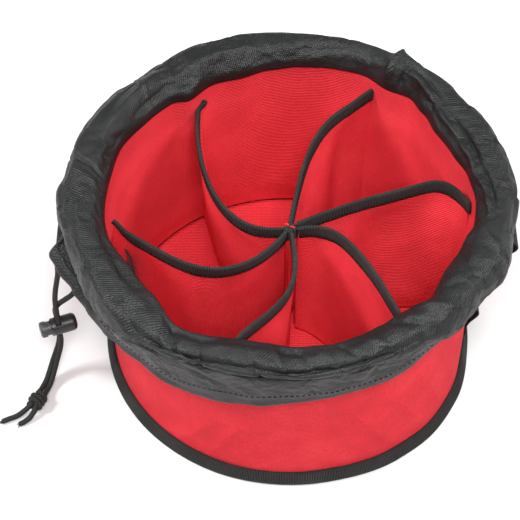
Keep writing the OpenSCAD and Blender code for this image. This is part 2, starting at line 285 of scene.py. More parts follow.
# ---- Materials ----
class Graph:
    """A material's nodes. Sockets are passed around and joined where they are used."""

    def __init__(self, name, roughness, sheen=0.0, specular=0.5):
        self.material = bpy.data.materials.new(name)
        self.material.use_nodes = True
        self.nodes = self.material.node_tree.nodes
        self.links = self.material.node_tree.links
        self.shader = self.nodes["Principled BSDF"]
        self.shader.inputs["Roughness"].default_value = roughness
        self.shader.inputs["Sheen Weight"].default_value = sheen
        self.shader.inputs["Specular IOR Level"].default_value = specular

    def put(self, socket, value):
        if isinstance(value, bpy.types.NodeSocket):
            self.links.new(value, socket)
        else:
            socket.default_value = value

    def math(self, operation, *values):
        node = self.nodes.new("ShaderNodeMath")
        node.operation = operation
        for socket, value in zip(node.inputs, values):
            self.put(socket, value)
        return node.outputs[0]

    def total(self, *parts):
        """The sum of sockets, each times its weight."""
        terms = [self.math("MULTIPLY", socket, weight) for socket, weight in parts]
        return functools.reduce(lambda a, b: self.math("ADD", a, b), terms)

    def uv(self):
        """The U and V of the cloth, in metres."""
        split = self.nodes.new("ShaderNodeSeparateXYZ")
        self.links.new(self.nodes.new("ShaderNodeTexCoord").outputs["UV"], split.inputs[0])
        return split.outputs[0], split.outputs[1]

    def noise(self, scale, detail=3.0, roughness=0.5, stretch=(1, 1, 1)):
        """Noise fixed to the piece's own space, so that it needs no UV."""
        place = self.nodes.new("ShaderNodeMapping")
        place.inputs["Scale"].default_value = stretch
        self.links.new(self.nodes.new("ShaderNodeTexCoord").outputs["Object"], place.inputs[0])
        node = self.nodes.new("ShaderNodeTexNoise")
        node.inputs["Scale"].default_value = scale
        node.inputs["Detail"].default_value = detail
        node.inputs["Roughness"].default_value = roughness
        self.links.new(place.outputs[0], node.inputs["Vector"])
        return node.outputs[0]

    def waves(self, coordinate, period):
        """A wave from 0 to 1 along a coordinate in metres."""
        sine = self.math("SINE", self.math("MULTIPLY", coordinate, 2 * math.pi / period))
        return self.math("MULTIPLY_ADD", sine, 0.5, 0.5)

    def ramp(self, factor, *stops):
        """Colours at positions along a factor: each stop is (position, (r, g, b) or a grey)."""
        node = self.nodes.new("ShaderNodeValToRGB")
        points = node.color_ramp.elements
        while len(points) < len(stops):
            points.new(0.5)
        for point, (place, colour) in zip(points, stops):
            point.position = place
            point.color = (*(colour if isinstance(colour, tuple) else (colour,) * 3), 1.0)
        self.put(node.inputs[0], factor)
        return node.outputs[0]

    def blend(self, factor, a, b, kind="MIX"):
        node = self.nodes.new("ShaderNodeMix")
        node.data_type = "RGBA"
        node.blend_type = kind
        self.put(node.inputs[0], factor)
        self.put(node.inputs[6], a if isinstance(a, bpy.types.NodeSocket) else (*a, 1.0))
        self.put(node.inputs[7], b if isinstance(b, bpy.types.NodeSocket) else (*b, 1.0))
        return node.outputs[2]

    def finish(self, colour, height, depth, roughness=None):
        """Joins the colour and a bump of the given depth in metres to the shader."""
        self.links.new(colour, self.shader.inputs["Base Color"])
        relief = self.nodes.new("ShaderNodeBump")
        relief.inputs["Distance"].default_value = depth
        self.links.new(height, relief.inputs["Height"])
        self.links.new(relief.outputs[0], self.shader.inputs["Normal"])
        if roughness is not None:
            self.links.new(roughness, self.shader.inputs["Roughness"])
        return self.material


def darker(colour, share):
    return tuple(c * share for c in colour)


def woven(name, colour, light, period, depth, roughness, sheen, specular=0.3):
    """Woven cloth: crossing threads, with faint ribs across V."""
    graph = Graph(name, roughness, sheen, specular)
    u, v = graph.uv()
    drift = graph.math("MULTIPLY", graph.noise(160.0, 2.0), period * 0.5)
    u, v = graph.math("ADD", u, drift), graph.math("ADD", v, drift)
    rib = graph.waves(v, period)
    cross = graph.math("MULTIPLY", graph.waves(u, period), rib)
    yarn = graph.noise(900.0, 2.0, 0.7)
    height = graph.total((cross, 0.5), (rib, 0.6), (yarn, 0.5))
    mottle = graph.noise(30.0, 4.0, 0.6)
    patch = graph.ramp(mottle, (0.3, darker(colour, 0.9)), (0.5, colour), (0.72, light))
    # painted shade in the weave's grooves and painted highlight on its raised threads: the colour follows
    # the weave's height
    painted_weave_shading = graph.ramp(height, (0.2, 0.7), (0.95, 1.12))
    tint = graph.blend(0.75, patch, painted_weave_shading, "MULTIPLY")
    fleck = graph.ramp(yarn, (0.35, 0.85), (0.65, 1.08))
    tint = graph.blend(0.5, tint, fleck, "MULTIPLY")
    return graph.finish(tint, height, depth)


def ribbed(name, colour, light, period, depth, roughness, sheen):
    """Grosgrain tape and webbing: firm ribs across the length, with fine threads on them."""
    graph = Graph(name, roughness, sheen, 0.08)
    u, v = graph.uv()
    wander = graph.math("MULTIPLY", graph.noise(220.0, 2.0), period * 0.5)
    rib = graph.waves(graph.math("ADD", u, wander), period)
    thread = graph.waves(v, period * 0.75)
    height = graph.total((rib, 0.8), (thread, 0.35), (graph.noise(1100.0, 2.0, 0.7), 0.4))
    # painted shade in the grooves between the ribs and painted highlight on the rib tops: the colour
    # follows the height, and light is the highlight colour
    tint = graph.ramp(height, (0.4, darker(colour, 0.45)), (0.8, colour), (1.1, light))
    wear = graph.ramp(graph.noise(60.0, 3.0), (0.35, 0.8), (0.7, 1.15))
    return graph.finish(graph.blend(0.6, tint, wear, "MULTIPLY"), height, depth)


def braided(name):
    """Braided cord: two sets of strands that cross at a slant."""
    graph = Graph(name, 0.6, 0.0, 0.15)
    u, v = graph.uv()
    turn = CORD_D * MM * math.pi
    first, second = (graph.waves(graph.math(way, u, v), turn / 6) for way in ("ADD", "SUBTRACT"))
    raised_strand = graph.math("MAXIMUM", first, second)
    height = graph.total((raised_strand, 0.8), (graph.noise(1500.0, 2.0, 0.7), 0.3))
    # painted shade between the strands and painted highlight on the raised strands: the colour follows
    # the height
    tint = graph.ramp(height, (0.3, 0.004), (0.75, (0.018, 0.019, 0.018)),
                      (1.0, (0.045, 0.046, 0.044)))
    return graph.finish(tint, height, 0.00025)


def collar_cloth():
    """Thin coated nylon with a fine slanting rib, small crumples and a soft gloss."""
    graph = Graph("collar_nylon", 0.45, 0.0, 0.32)
    u, v = graph.uv()
    rib = graph.waves(graph.total((u, 1.0), (v, 0.62), (graph.noise(120.0, 2.0), 0.0005)), 0.0017)
    check = graph.math("MULTIPLY", graph.waves(u, 0.0013), graph.waves(v, 0.0013))
    weave = graph.total((rib, 0.4), (check, 0.3), (graph.noise(1000.0, 2.0, 0.7), 0.4))
    crumple = graph.noise(48.0, 4.0, 0.5, (1.0, 1.0, 1.7))
    small = graph.noise(210.0, 3.0, 0.5, (1.0, 1.0, 1.4))
    height = graph.total((weave, 1.0), (crumple, 5.5), (small, 0.9))
    tone = graph.ramp(graph.noise(22.0, 4.0, 0.6), (0.3, (0.0095, 0.01, 0.01)),
                      (0.55, (0.0145, 0.0152, 0.0152)), (0.75, (0.022, 0.0237, 0.0245)))
    # painted shade in the weave's grooves and painted highlight on its raised threads: the colour follows
    # the weave's height
    painted_weave_shading = graph.ramp(weave, (0.3, 0.6), (0.85, 1.2))
    tint = graph.blend(0.75, tone, painted_weave_shading, "MULTIPLY")
    rough = graph.ramp(crumple, (0.3, 0.34), (0.7, 0.5))
    return graph.finish(tint, height, 0.00045, rough)


def moulded(name, colour, light, roughness, coat=0.0):
    """Moulded plastic with a fine texture, a little uneven in its gloss."""
    graph = Graph(name, roughness, specular=0.5)
    graph.shader.inputs["Coat Weight"].default_value = coat
    grain = graph.noise(1800.0, 3.0, 0.6)
    scuff = graph.noise(180.0, 5.0, 0.7)
    tint = graph.ramp(scuff, (0.35, colour), (0.75, light))
    rough = graph.ramp(scuff, (0.3, roughness * 0.8), (0.75, roughness * 1.25))
    return graph.finish(tint, graph.total((grain, 0.6), (scuff, 0.5)), 0.00006, rough)


def wire(name):
    """Bright drawn wire with faint lengthwise scratches."""
    graph = Graph(name, 0.28)
    graph.shader.inputs["Metallic"].default_value = 1.0
    scratch = graph.noise(2500.0, 3.0, 0.6, (1.0, 1.0, 0.2))
    tint = graph.ramp(scratch, (0.3, (0.42, 0.42, 0.44)), (0.7, (0.68, 0.68, 0.7)))
    return graph.finish(tint, scratch, 0.00002)


def foam(name):
    """Closed-cell foam sheet: dull, with small cells."""
    graph = Graph(name, 0.9, specular=0.2)
    cells = graph.noise(1400.0, 3.0, 0.6)
    tint = graph.ramp(cells, (0.35, (0.16, 0.16, 0.165)), (0.65, (0.3, 0.3, 0.31)))
    return graph.finish(tint, cells, 0.0003)


def pale_floor():
    """The stage's floor: nearly white, with the faintest unevenness."""
    graph = Graph("stage_floor", 0.8, specular=0.2)
    grain = graph.noise(12.0, 2.0)
    tint = graph.ramp(grain, (0.3, 0.71), (0.7, 0.74))
    return graph.finish(tint, grain, 0.00002)


RED = (0.82, 0.043, 0.06)
RED_LIGHT = (0.88, 0.056, 0.073)
BLACK = (0.008, 0.008, 0.0077)
# the painted highlight colour on the tape's rib tops
BLACK_PAINTED_HIGHLIGHT = (0.065, 0.065, 0.061)

# The outer wall's copy of the red cloth, darkened as painted shade against the brighter light on the
# outside; the lining uses the full red.
shaded_red_cloth = woven("red_polyester_painted_shade", darker(RED, 0.82), darker(RED_LIGHT, 0.86), 0.0015, 0.0004,
                  0.7, 0.0, specular=0.05)
red_cloth = woven("red_polyester", RED, RED_LIGHT, 0.0015, 0.0004, 0.65, 0.0, specular=0.12)
black_cloth = woven("black_polyester", BLACK, (0.035, 0.035, 0.035), 0.0013, 0.0003, 0.6, 0.05)
label_cloth = woven("label_satin", (0.018, 0.016, 0.02), (0.05, 0.042, 0.05), 0.0005, 0.0001, 0.4, 0.2)
black_tape = ribbed("grosgrain_tape", BLACK, BLACK_PAINTED_HIGHLIGHT, 0.00105, 0.0004, 0.65, 0.03)
webbing_cloth = ribbed("nylon_webbing", (0.009, 0.009, 0.009), (0.04, 0.04, 0.038), 0.0013, 0.0004, 0.6,
                       0.03)
collar_nylon = collar_cloth()
cord_braid = braided("braided_cord")
red_thread = ribbed("red_thread", (0.72, 0.02, 0.02), (0.9, 0.06, 0.05), 0.0006, 0.0002, 0.5, 0.1)
black_thread = ribbed("black_thread", (0.012, 0.012, 0.012), (0.03, 0.03, 0.03), 0.0006, 0.0002, 0.5, 0.1)
lock_plastic = moulded("lock_acetal", (0.012, 0.012, 0.013), (0.02, 0.02, 0.021), 0.38)
plunger_plastic = moulded("plunger_acetal", (0.03, 0.032, 0.033), (0.05, 0.052, 0.054), 0.42)
board_plastic = moulded("base_board_sheet", (0.06, 0.06, 0.06), (0.11, 0.11, 0.11), 0.6)
spring_steel = wire("spring_wire")
wall_foam_sheet = foam("foam_sheet")


# ---- Camera ----
CAMERA_TILT = 51.78  # degrees above the horizon
CAMERA_REACH = 1100.0  # from the point that it looks at
CAMERA_TARGET = (-19.4, 0.0, 79.7)


def add_camera():
    camera = bpy.data.objects.new("camera", bpy.data.cameras.new("camera"))
    bpy.context.scene.collection.objects.link(camera)
    tilt = math.radians(CAMERA_TILT)
    back = Vector((0.0, -math.cos(tilt), math.sin(tilt)))
    camera.location = (Vector(CAMERA_TARGET) + back * CAMERA_REACH) * MM
    camera.rotation_euler = (-back).to_track_quat("-Z", "Y").to_euler()
    camera.data.sensor_width = 36.0
    camera.data.lens = 113.885
    camera.data.clip_start = 0.05
    camera.data.clip_end = 20.0
    bpy.context.scene.camera = camera


add_camera()


# ---- Drawstring ----
STRAND_HALF = 1.95  # from the middle of the pair to the middle of a strand
KNOT_AT = np.array([-171.0, -63.5, 6.1])
KNOT_AXIS = raised(polar(1.0, -116.0), 0.0)
KNOT_ACROSS = np.cross(KNOT_AXIS, UP)
# Each point is x, y, z and the heading of the front strand from the middle of the pair
PAIR_ROUTE = np.array([
    [-155, -31, 64, -70], [-155, -31, 56, -70], [-155, -31, 48, -70], [-155, -31, 40, -70],
    [-155, -31, 34, -70], [-156, -31.6, 27, -66], [-158, -33.4, 20, -60],
    [-160.4, -36.8, 13.5, -52], [-162.6, -41.6, 8, -44], [-164.6, -47.2, 4.6, -36],
    [-166.8, -53, 4.4, -28], [-168.6, -58.6, 6.1, -26]])
FRONT_LEAD = [
    [-148.6, -30.2, 126], [-149.4, -29.5, 118], [-149.7, -29.1, 110.6], [-150, -29.6, 104],
    [-151.4, -30.6, 96], [-153, -31.8, 88], [-154, -32.6, 80], [-154.3, -32.8, 72]]
BACK_LEAD = [
    [-146.4, -18, 127], [-145.4, -18.4, 121.6], [-144, -19, 115.6], [-143, -20, 108],
    [-141, -22, 100], [-139.5, -24, 92], [-139.8, -26, 84.5], [-143.2, -27.8, 78.4],
    [-148, -28.9, 74.4], [-152.6, -29.2, 70]]
LONG_END = [
    [-175.4, -67.4, 5.6], [-179.2, -70.2, 3.6], [-184, -73.2, 1.9], [-189, -75.6, 1.9],
    [-194, -78, 1.9]]
SHORT_END = [
    [-171.8, -70.2, 5.6], [-174.6, -74.6, 3.2], [-178.4, -77.8, 1.9], [-182.2, -80, 1.9]]


def strand(side):
    """One strand of the pair: side is 1 for the front strand and -1 for the back one."""
    shift = side * polar(STRAND_HALF, PAIR_ROUTE[:, 3])
    return PAIR_ROUTE[:, :3] + raised(shift, 0.0)


def add_round_cord(name, path, diameter, sides=14, end_taper=2):
    """A braided cord along a path, its strands standing a little proud, its ends fused."""
    s = arc_lengths(path)
    angle = np.arange(sides) * 2 * math.pi / sides
    strands = 0.05 * np.cos(6 * angle[None, :] + s[:, None] * 2.2) * np.cos(
        6 * angle[None, :] - s[:, None] * 2.2)
    radius = diameter / 2 + strands
    ends = np.minimum(np.arange(len(path)), np.arange(len(path))[::-1])
    radius = radius * mix(0.72, 1.0, smooth((ends + 0.5) / end_taper))[:, None]
    sections = radius[..., None] * np.stack([np.cos(angle), np.sin(angle)], -1)[None]
    return add_thread(name, path, sections, (0.3, 1.0, 0.2), cord_braid)


def add_knot():
    """An overhand knot of both strands: wraps around the pair, and one pass over them."""
    turns, pitch, wrap_r = 3.0, 3.15, 4.15
    t = np.linspace(0, 1, 150)
    angle = 2 * math.pi * turns * t + 0.6
    reach = wrap_r * smooth(np.minimum(t, 1 - t) * 14 + 0.25)
    along = (t - 0.5) * turns * pitch
    wraps = (KNOT_AT + along[:, None] * KNOT_AXIS + (reach * np.cos(angle))[:, None] * KNOT_ACROSS
             + (reach * np.sin(angle))[:, None] * np.array(UP))
    coil = add_round_cord("cord_knot_wraps", wraps, 3.4)
    u = np.linspace(-1, 1, 40)
    over = (KNOT_AT + (4.6 * u)[:, None] * KNOT_AXIS
            + (5.4 * (1 - np.abs(u) ** 3) - 0.6)[:, None] * np.array([0, 0, 0.55])
            + (2.6 * u + 1.6 * (1 - u**2))[:, None] * KNOT_ACROSS)
    pass_over = add_round_cord("cord_knot_pass", over, 3.3)
    knot = join("cord_knot_tied", [coil, pass_over])
    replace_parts(knot, "cord_knot")
    return knot


def frayed_end(name, end, direction, seed):
    """The short tuft of loose fibres at the cut end of a cord."""
    rng = np.random.default_rng(seed)
    direction = unit(np.asarray(direction, float))
    hairs = []
    for k in range(16):
        spread = rng.normal(0, 0.35, 3) * [1, 1, 0.5]
        reach = rng.uniform(1.0, 2.4)
        root = end - direction * 0.8 + rng.normal(0, 0.5, 3)
        t = np.linspace(0, 1, 5)[:, None]
        hair = root + direction * (reach * t) + spread * reach * t**2
        hair[:, 2] = np.maximum(hair[:, 2], 0.25)
        hairs.append(add_thread(f"{name}_{k}", hair, circle(0.13, 5), (0.2, 0.3, 1.0), cord_braid))
    return join(name, hairs)


def add_drawstring():
    knot = add_knot()
    tails = [
        ("drawstring_front_strand", FRONT_LEAD, 1, LONG_END, 0.7,
         ("cord_tail_front", "cord_end_long"), 5),
        ("drawstring_back_strand", BACK_LEAD, -1, SHORT_END, -0.7,
         ("cord_tail_back", "cord_end_short"), 6)]
    for name, lead, side, end, offset, nodes, seed in tails:
        middle = [KNOT_AT + KNOT_AXIS + KNOT_ACROSS * offset]
        path = smooth_path(np.concatenate([lead, strand(side), middle, end]), 0.8)
        piece = add_round_cord(name, path, CORD_D)
        tuft = frayed_end(name + "_tuft", path[-1], path[-1] - path[-6], seed)
        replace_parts(piece, *nodes)


add_drawstring()


# ---- The wall, its lining and the base ----
# Each divider is a cubic curve in plan: azimuth, heading and reach at the wall, then at the
# centre. They are close to the CAD frame's.
DIVIDER_PLANS = [
    [121, -135, 10, 190, -165, 60], [62, -155, 49, 85, 80, 50], [5, 110, 40, 35, 20, 12],
    [-52, 116, 35, -12, 15, 40], [-110, 60, 50, -75, -80, 65], [-176, -30, 40, -125, -120, 75]]
# How far the rim bends out of round, in millimetres outwards
rim_shift = around(
    [-168, 1.5], [-150, -3], [-138, -3], [-124, 4.5], [-104, -2], [-80, 0], [-60, -3], [-46, -1],
    [-31, -5.5], [-20, -3.5], [-10, 0], [0, 1], [10, -0.5], [20, -4], [31, -4.5], [41, 0], [48, 4],
    [56, 1], [66, 5.5], [75, 4.5], [86, 2.5], [96, 0], [107, -4], [116, -2.5], [127, -7],
    [133, -1.5], [143, -1], [158, 1.5], [170, 0])
# How far the foot of the wall stands out, where the bag has been leaned on
foot_shift = around([-80, 0], [-56, 2.2], [-42, 3.6], [-28, 2.6], [-8, 0], [90, 0], [180, 0])
# Slanting wrinkles of the outer cloth: azimuth, lean in degrees, lowest and highest point, height
WALL_CREASES = [
    (-128, 16, 8, 62, 2.0), (-116, 13, 10, 70, 1.8), (-108, 9, 6, 50, 1.0), (-99, -5, 6, 40, 1.0),
    (-72, -12, 6, 52, 1.4), (-62, -16, 8, 66, 1.4), (-54, -20, 8, 80, 2.2), (-44, -18, 10, 90, 2.4),
    (-36, -14, 14, 94, 2.0), (-28, -12, 20, 96, 1.6), (60, 10, 10, 80, 0.8), (100, -12, 8, 70, 0.7),
    (140, 14, 10, 90, 0.9)]
WALL_STATIONS = 360
WALL_ROWS = 64


def wall_shift(az, z):
    """How far the soft wall stands from its round shape at a height, outwards."""
    rise = smooth((z - 35.0) / (WALL_H - 35.0))
    folds = soft_noise((np.asarray(az) % 360) / 360.0, np.asarray(z) / 160.0, 17, 2, 11)
    slack = smooth(z / 30.0) * (1 - 0.75 * smooth((z - 110.0) / 30.0))
    foot = foot_shift(az) * (1 - smooth((z - 20.0) / 85.0))
    return rim_shift(az) * rise + foot + 0.8 * folds * slack


def wall_creases(az, z):
    """Slanting wrinkles of the outer cloth, where it bends over the binding and the webbing."""
    depth = 0.0
    for centre, lean, low, high, height in WALL_CREASES:
        share = (z - low) / (high - low)
        fade = smooth(share * 4) * smooth((1 - share) * 3)
        across = np.abs(turn_from(az, centre + lean * share))
        depth = depth + height * fade * np.exp(-across / 1.8)
    return np.maximum(depth, 0.0)


def lining_pull(az, z):
    """How far the lining is drawn in: along the dividers' seams, and in slack folds."""
    drawn = 0.0
    for plan in DIVIDER_PLANS:
        seam = plan[0] + 1.2 * np.sin(z / 19.0 + plan[0])
        drawn = drawn + np.exp(-np.abs(turn_from(az, seam)) / 1.4)
    turn = (az % 360) / 360.0
    slack = 2.4 * np.abs(soft_noise(turn + z / 2600.0, z / 150.0, 16, 2, 12))
    folds = slack * (1 - 0.8 * np.minimum(drawn, 1.0)) + 1.3 * drawn
    return folds * smooth((z - 4.0) / 20.0) * smooth((128.0 - z) / 22.0)


def wall_grid(radius, low, high, creases=0.0, pull=0.0):
    """Grid of points of one layer of the wall, with its cloth coordinates."""
    az, z = np.meshgrid(
        np.arange(WALL_STATIONS) * 360.0 / WALL_STATIONS,
        np.linspace(low, high, WALL_ROWS), indexing="ij")
    r = radius + wall_shift(az, z) + creases * wall_creases(az, z) - pull * lining_pull(az, z)
    points = raised(polar(r, az), z)
    turn = np.append(np.arange(WALL_STATIONS), WALL_STATIONS) * 2 * math.pi / WALL_STATIONS
    u = np.repeat((turn * radius)[:, None], WALL_ROWS, 1)
    v = np.repeat(np.linspace(low, high, WALL_ROWS)[None], WALL_STATIONS + 1, 0)
    return points, u, v


def add_wall():
    layers = (
        ("outer_wall_cloth", WALL_R - CLOTH_T / 2, 0.9, WALL_H, 0.75, (1.0, 0.0), shaded_red_cloth,
         "red_cloth", "outer_wall"),
        ("wall_foam_sheet", FOAM_R - FOAM_T / 2, 0.9, WALL_H - 1, 1.2, (0.0, 0.0), wall_foam_sheet,
         "stiffener_foam", "wall_foam"),
        ("wall_lining_cloth", LINING_R - CLOTH_T / 2, FLOOR_Z, WALL_H, 0.7, (0.0, 1.0), red_cloth,
         "red_cloth", "wall_lining"))
    for name, radius, low, high, thick, (creases, pull), material, slot, node in layers:
        points, u, v = wall_grid(radius, low, high, creases, pull)
        piece = add_grid(name, points, u, v, material, wrap_u=True)
        thicken(piece, thick)
        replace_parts(piece, node)


def add_disc(name, radius, height, swell, seed, material, node, thick):
    """A round panel of cloth: a centre point and rings around it."""
    rings, stations = 40, 120
    r = np.linspace(0.4, radius, rings)
    az = np.arange(stations) * 360.0 / stations
    grid_az, grid_r = np.meshgrid(az, r, indexing="ij")
    xy = polar(grid_r + foot_shift(grid_az) * smooth((grid_r / radius - 0.6) / 0.4), grid_az)
    lift = swell * soft_noise(xy[..., 0] / 400 + 0.5, xy[..., 1] / 400 + 0.5, 14, 14, seed)
    lift = lift * smooth((radius - grid_r) / 12.0)
    points = raised(xy, height + lift)
    closed = np.concatenate([xy, xy[:1]])
    piece = add_grid(name, points, closed[..., 0], closed[..., 1], material, wrap_u=True,
                     flip=True)
    thicken(piece, thick)
    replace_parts(piece, node)


def add_base():
    add_disc("floor_lining_cloth", INSIDE_R - 0.3, FLOOR_Z + 0.45, 0.35, 21, red_cloth,
             "floor_lining", 0.6)
    add_disc("base_panel_cloth", WALL_R - 0.3, 0.42, 0.1, 22, black_cloth,
             "base_panel", 0.6)
    binding_r = WALL_R + LAYER_GAP
    stations = 2992  # four to each rib
    az = np.arange(stations) * 360.0 / stations
    path = raised(polar(binding_r + foot_shift(az), az), 0.0)
    outwards = raised(polar(1.0, az), 0.0)
    ups = np.repeat([UP], stations, 0)
    profile = np.array([
        [0.0, 0.5], [3.9, 0.1], [5.0, 0.4], [5.4, 1.2], [5.4, 2.4], [4.9, 4.2], [3.9, 6.4],
        [2.8, 8.4], [2.1, 9.3], [1.4, 9.5], [0.0, 9.4]])
    rib = 0.09 * np.cos(np.arange(stations) * math.pi / 2 + 0.8)
    wave = 0.35 * soft_noise(az / 360, 0.5, 26, 1, 31)
    slump = 0.4 * soft_noise(az / 360, 0.5, 19, 1, 32)
    sections = np.repeat(profile[None], stations, 0)
    shown = (profile[:, 0] > 0)[None]
    sections[..., 0] += shown * (rib + wave)[:, None]
    sections[..., 1] += (profile[:, 1] > 6)[None] * slump[:, None]
    sections[..., 1] = np.maximum(sections[..., 1], 0.05)
    binding = add_sweep("base_binding_tape", path, sections, outwards, ups, black_tape,
                        loop=True)
    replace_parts(binding, "base_binding")


def add_stitches(name, spots, normals, length, width, material):
    """A line of stitches along spots: short threads that dip into the cloth at both ends."""
    s = arc_lengths(spots)
    pitch = length * 1.45
    count = int(s[-1] / pitch)
    t = np.linspace(0, 1, 5)
    dip = np.array([-0.5, 0.25, 0.45, 0.25, -0.5]) * width
    shrink = np.array([0.5, 0.95, 1.0, 0.95, 0.5])
    pieces_v, pieces_f, pieces_uv = [], [], []
    ring = circle(width / 2, 6)
    for k in range(count):
        at = (k + 0.2) * pitch + t * length
        line = np.stack([np.interp(at, s, spots[:, n]) for n in range(3)], -1)
        up = unit(np.stack([np.interp(at, s, normals[:, n]) for n in range(3)], -1))
        along = unit(np.gradient(line, axis=0))
        side = np.cross(along, up)
        centre = line + up * dip[:, None]
        rings = (centre[:, None] + shrink[:, None, None] * (
            ring[None, :, :1] * side[:, None] + ring[None, :, 1:] * up[:, None]))
        base = len(pieces_v) * 30
        faces, corners = grid_faces(5, 6, False, True)
        faces = faces + [list(range(6)), list(range(24, 30))[::-1]]
        pieces_v.append(rings.reshape(-1, 3))
        pieces_f += [[base + f for f in face] for face in faces]
        for square in corners:
            pieces_uv += [(i * length / 4, j * width / 2) for i, j in square]
        pieces_uv += [(0.0, 0.0)] * 12
    return add_object(name, np.concatenate(pieces_v), pieces_f, pieces_uv, material)


add_wall()
add_base()


# ---- Dividers ----
DIVIDER_START_R = INSIDE_R - 2
DIVIDER_END_R = 5.2
DIVIDER_WALL_Z = 132.0
DIVIDER_CENTRE_Z = 115.0
FLOOR_BOW = 0.5  # how much of its curve a divider keeps where it meets the floor
TAPE_H = 9.5
# Slow folds of each divider: where along it, at what share of its height, how wide, how deep
DIVIDER_FOLDS = [
    [(0.22, 0.55, 0.10, 3.0), (0.55, 0.45, 0.16, -2.6), (0.82, 0.6, 0.1, 1.6)],
    [(0.18, 0.6, 0.09, -2.6), (0.45, 0.5, 0.14, 2.8), (0.78, 0.5, 0.12, -1.8)],
    [(0.2, 0.5, 0.12, 2.6), (0.52, 0.6, 0.13, -2.4), (0.8, 0.4, 0.1, 1.8)],
    [(0.25, 0.5, 0.12, -2.8), (0.6, 0.55, 0.14, 2.4)],
    [(0.2, 0.45, 0.1, 2.4), (0.5, 0.6, 0.12, -2.8), (0.8, 0.5, 0.1, 1.4)],
    [(0.24, 0.6, 0.12, 2.4), (0.5, 0.4, 0.12, -3.0), (0.78, 0.6, 0.1, 1.8)]]

# How far the top edge of each divider rises and sags: where along it, how wide, how far
DIVIDER_RISES = [
    [(0.1, 0.1, -1.5), (0.55, 0.2, -1.0)], [(0.25, 0.15, 1.0), (0.7, 0.15, -1.0)],
    [(0.0, 0.09, -4.0), (0.23, 0.12, 5.0), (0.6, 0.2, -0.5)], [(0.3, 0.2, 1.0), (0.75, 0.12, 1.0)],
    [(0.3, 0.15, -1.0), (0.7, 0.15, 1.0)], [(0.12, 0.1, -1.0), (0.5, 0.2, -1.5)]]
# How tall each tape is at its wall end, as a share of the tape's height
TAPE_ENDS = [0.35, 1.0, 1.0, 1.0, 1.15, 0.35]
# How far the top corner of each divider stands in from the lining
CORNERS_IN = [1.0, 0.0, 2.0, 0.0, 0.0, 5.5]


def divider_top(i, t):
    """Height of the taped edge of divider i at t from the wall to the centre."""
    rises = sum(height * bump(t, along, width) for along, width, height in DIVIDER_RISES[i])
    return mix(DIVIDER_WALL_Z, DIVIDER_CENTRE_Z, t**0.8) + rises * smooth((1 - t) / 0.1)


def divider_plan(i, t, z):
    """Plan position of divider i's middle surface at t from the wall to the centre."""
    az0, heading0, reach0, az1, heading1, reach1 = DIVIDER_PLANS[i]
    start, end = polar(DIVIDER_START_R, az0), polar(DIVIDER_END_R, az1)
    near, far = start + polar(reach0, heading0), end + polar(reach1, heading1)
    t = np.asarray(t, float)[..., None]
    s = 1 - t
    curve = s**3 * start + 3 * s * s * t * near + 3 * s * t * t * far + t**3 * end
    bow = mix(FLOOR_BOW, 1.0, (np.asarray(z) - INSIDE_Z) / (DIVIDER_WALL_Z - INSIDE_Z))[..., None]
    return mix(mix(start, end, t), curve, bow)


def divider_points(i, t, share):
    """Points of divider i at t along it and a share of its height, folds included."""
    t, share = np.broadcast_arrays(t, share)
    z = mix(INSIDE_Z + 0.3, divider_top(i, t) - 1.0, share)
    step = 0.01
    middle = divider_plan(i, t, z)
    ahead = divider_plan(i, np.clip(t + step, 0, 1), z) - divider_plan(i, np.clip(t - step, 0, 1), z)
    normal = unit(np.stack([-ahead[..., 1], ahead[..., 0]], -1))
    depth = np.zeros(t.shape)
    for along, height, width, size in DIVIDER_FOLDS[i]:
        depth += size * bump(t + 0.12 * (share - 0.5), along, width) * bump(share, height, 0.42)
    depth *= 1.25
    depth += 1.1 * soft_noise(t * 0.8, share, 7, 4, 40 + i)
    depth += 1.6 * (0.35 - np.abs(soft_noise(t * 0.8 + 0.15 * share, share, 9, 3, 50 + i)))
    held = smooth(t / 0.08) * smooth((1 - t) / 0.1) * smooth((0.97 - share) / 0.2) * smooth(
        share / 0.1)
    middle = middle + normal * (depth * held)[..., None]
    # the wall end runs on to the lining, wherever the wall stands
    az0 = DIVIDER_PLANS[i][0]
    reach = INSIDE_R - 0.15 + wall_shift(np.full(z.shape, float(az0)), z) - DIVIDER_START_R
    reach = reach - CORNERS_IN[i] * smooth((share - 0.72) / 0.28)
    middle = middle + polar(1.0, az0) * (reach * (1 - smooth(t / 0.12)))[..., None]
    return raised(middle, z)


def add_dividers():
    stations, rows = 90, 50
    for i in range(len(DIVIDER_PLANS)):
        t, share = np.meshgrid(np.linspace(0, 1, stations), np.linspace(0, 1, rows), indexing="ij")
        points = divider_points(i, t, share)
        length = arc_lengths(points[:, -1])
        u = np.repeat(length[:, None], rows, 1)
        piece = add_grid(f"divider_{i + 1}_cloth", points, u, points[..., 2], red_cloth)
        thicken(piece, 1.1)
        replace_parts(piece, f"divider_{i + 1}")
        tape = add_divider_tape(i)


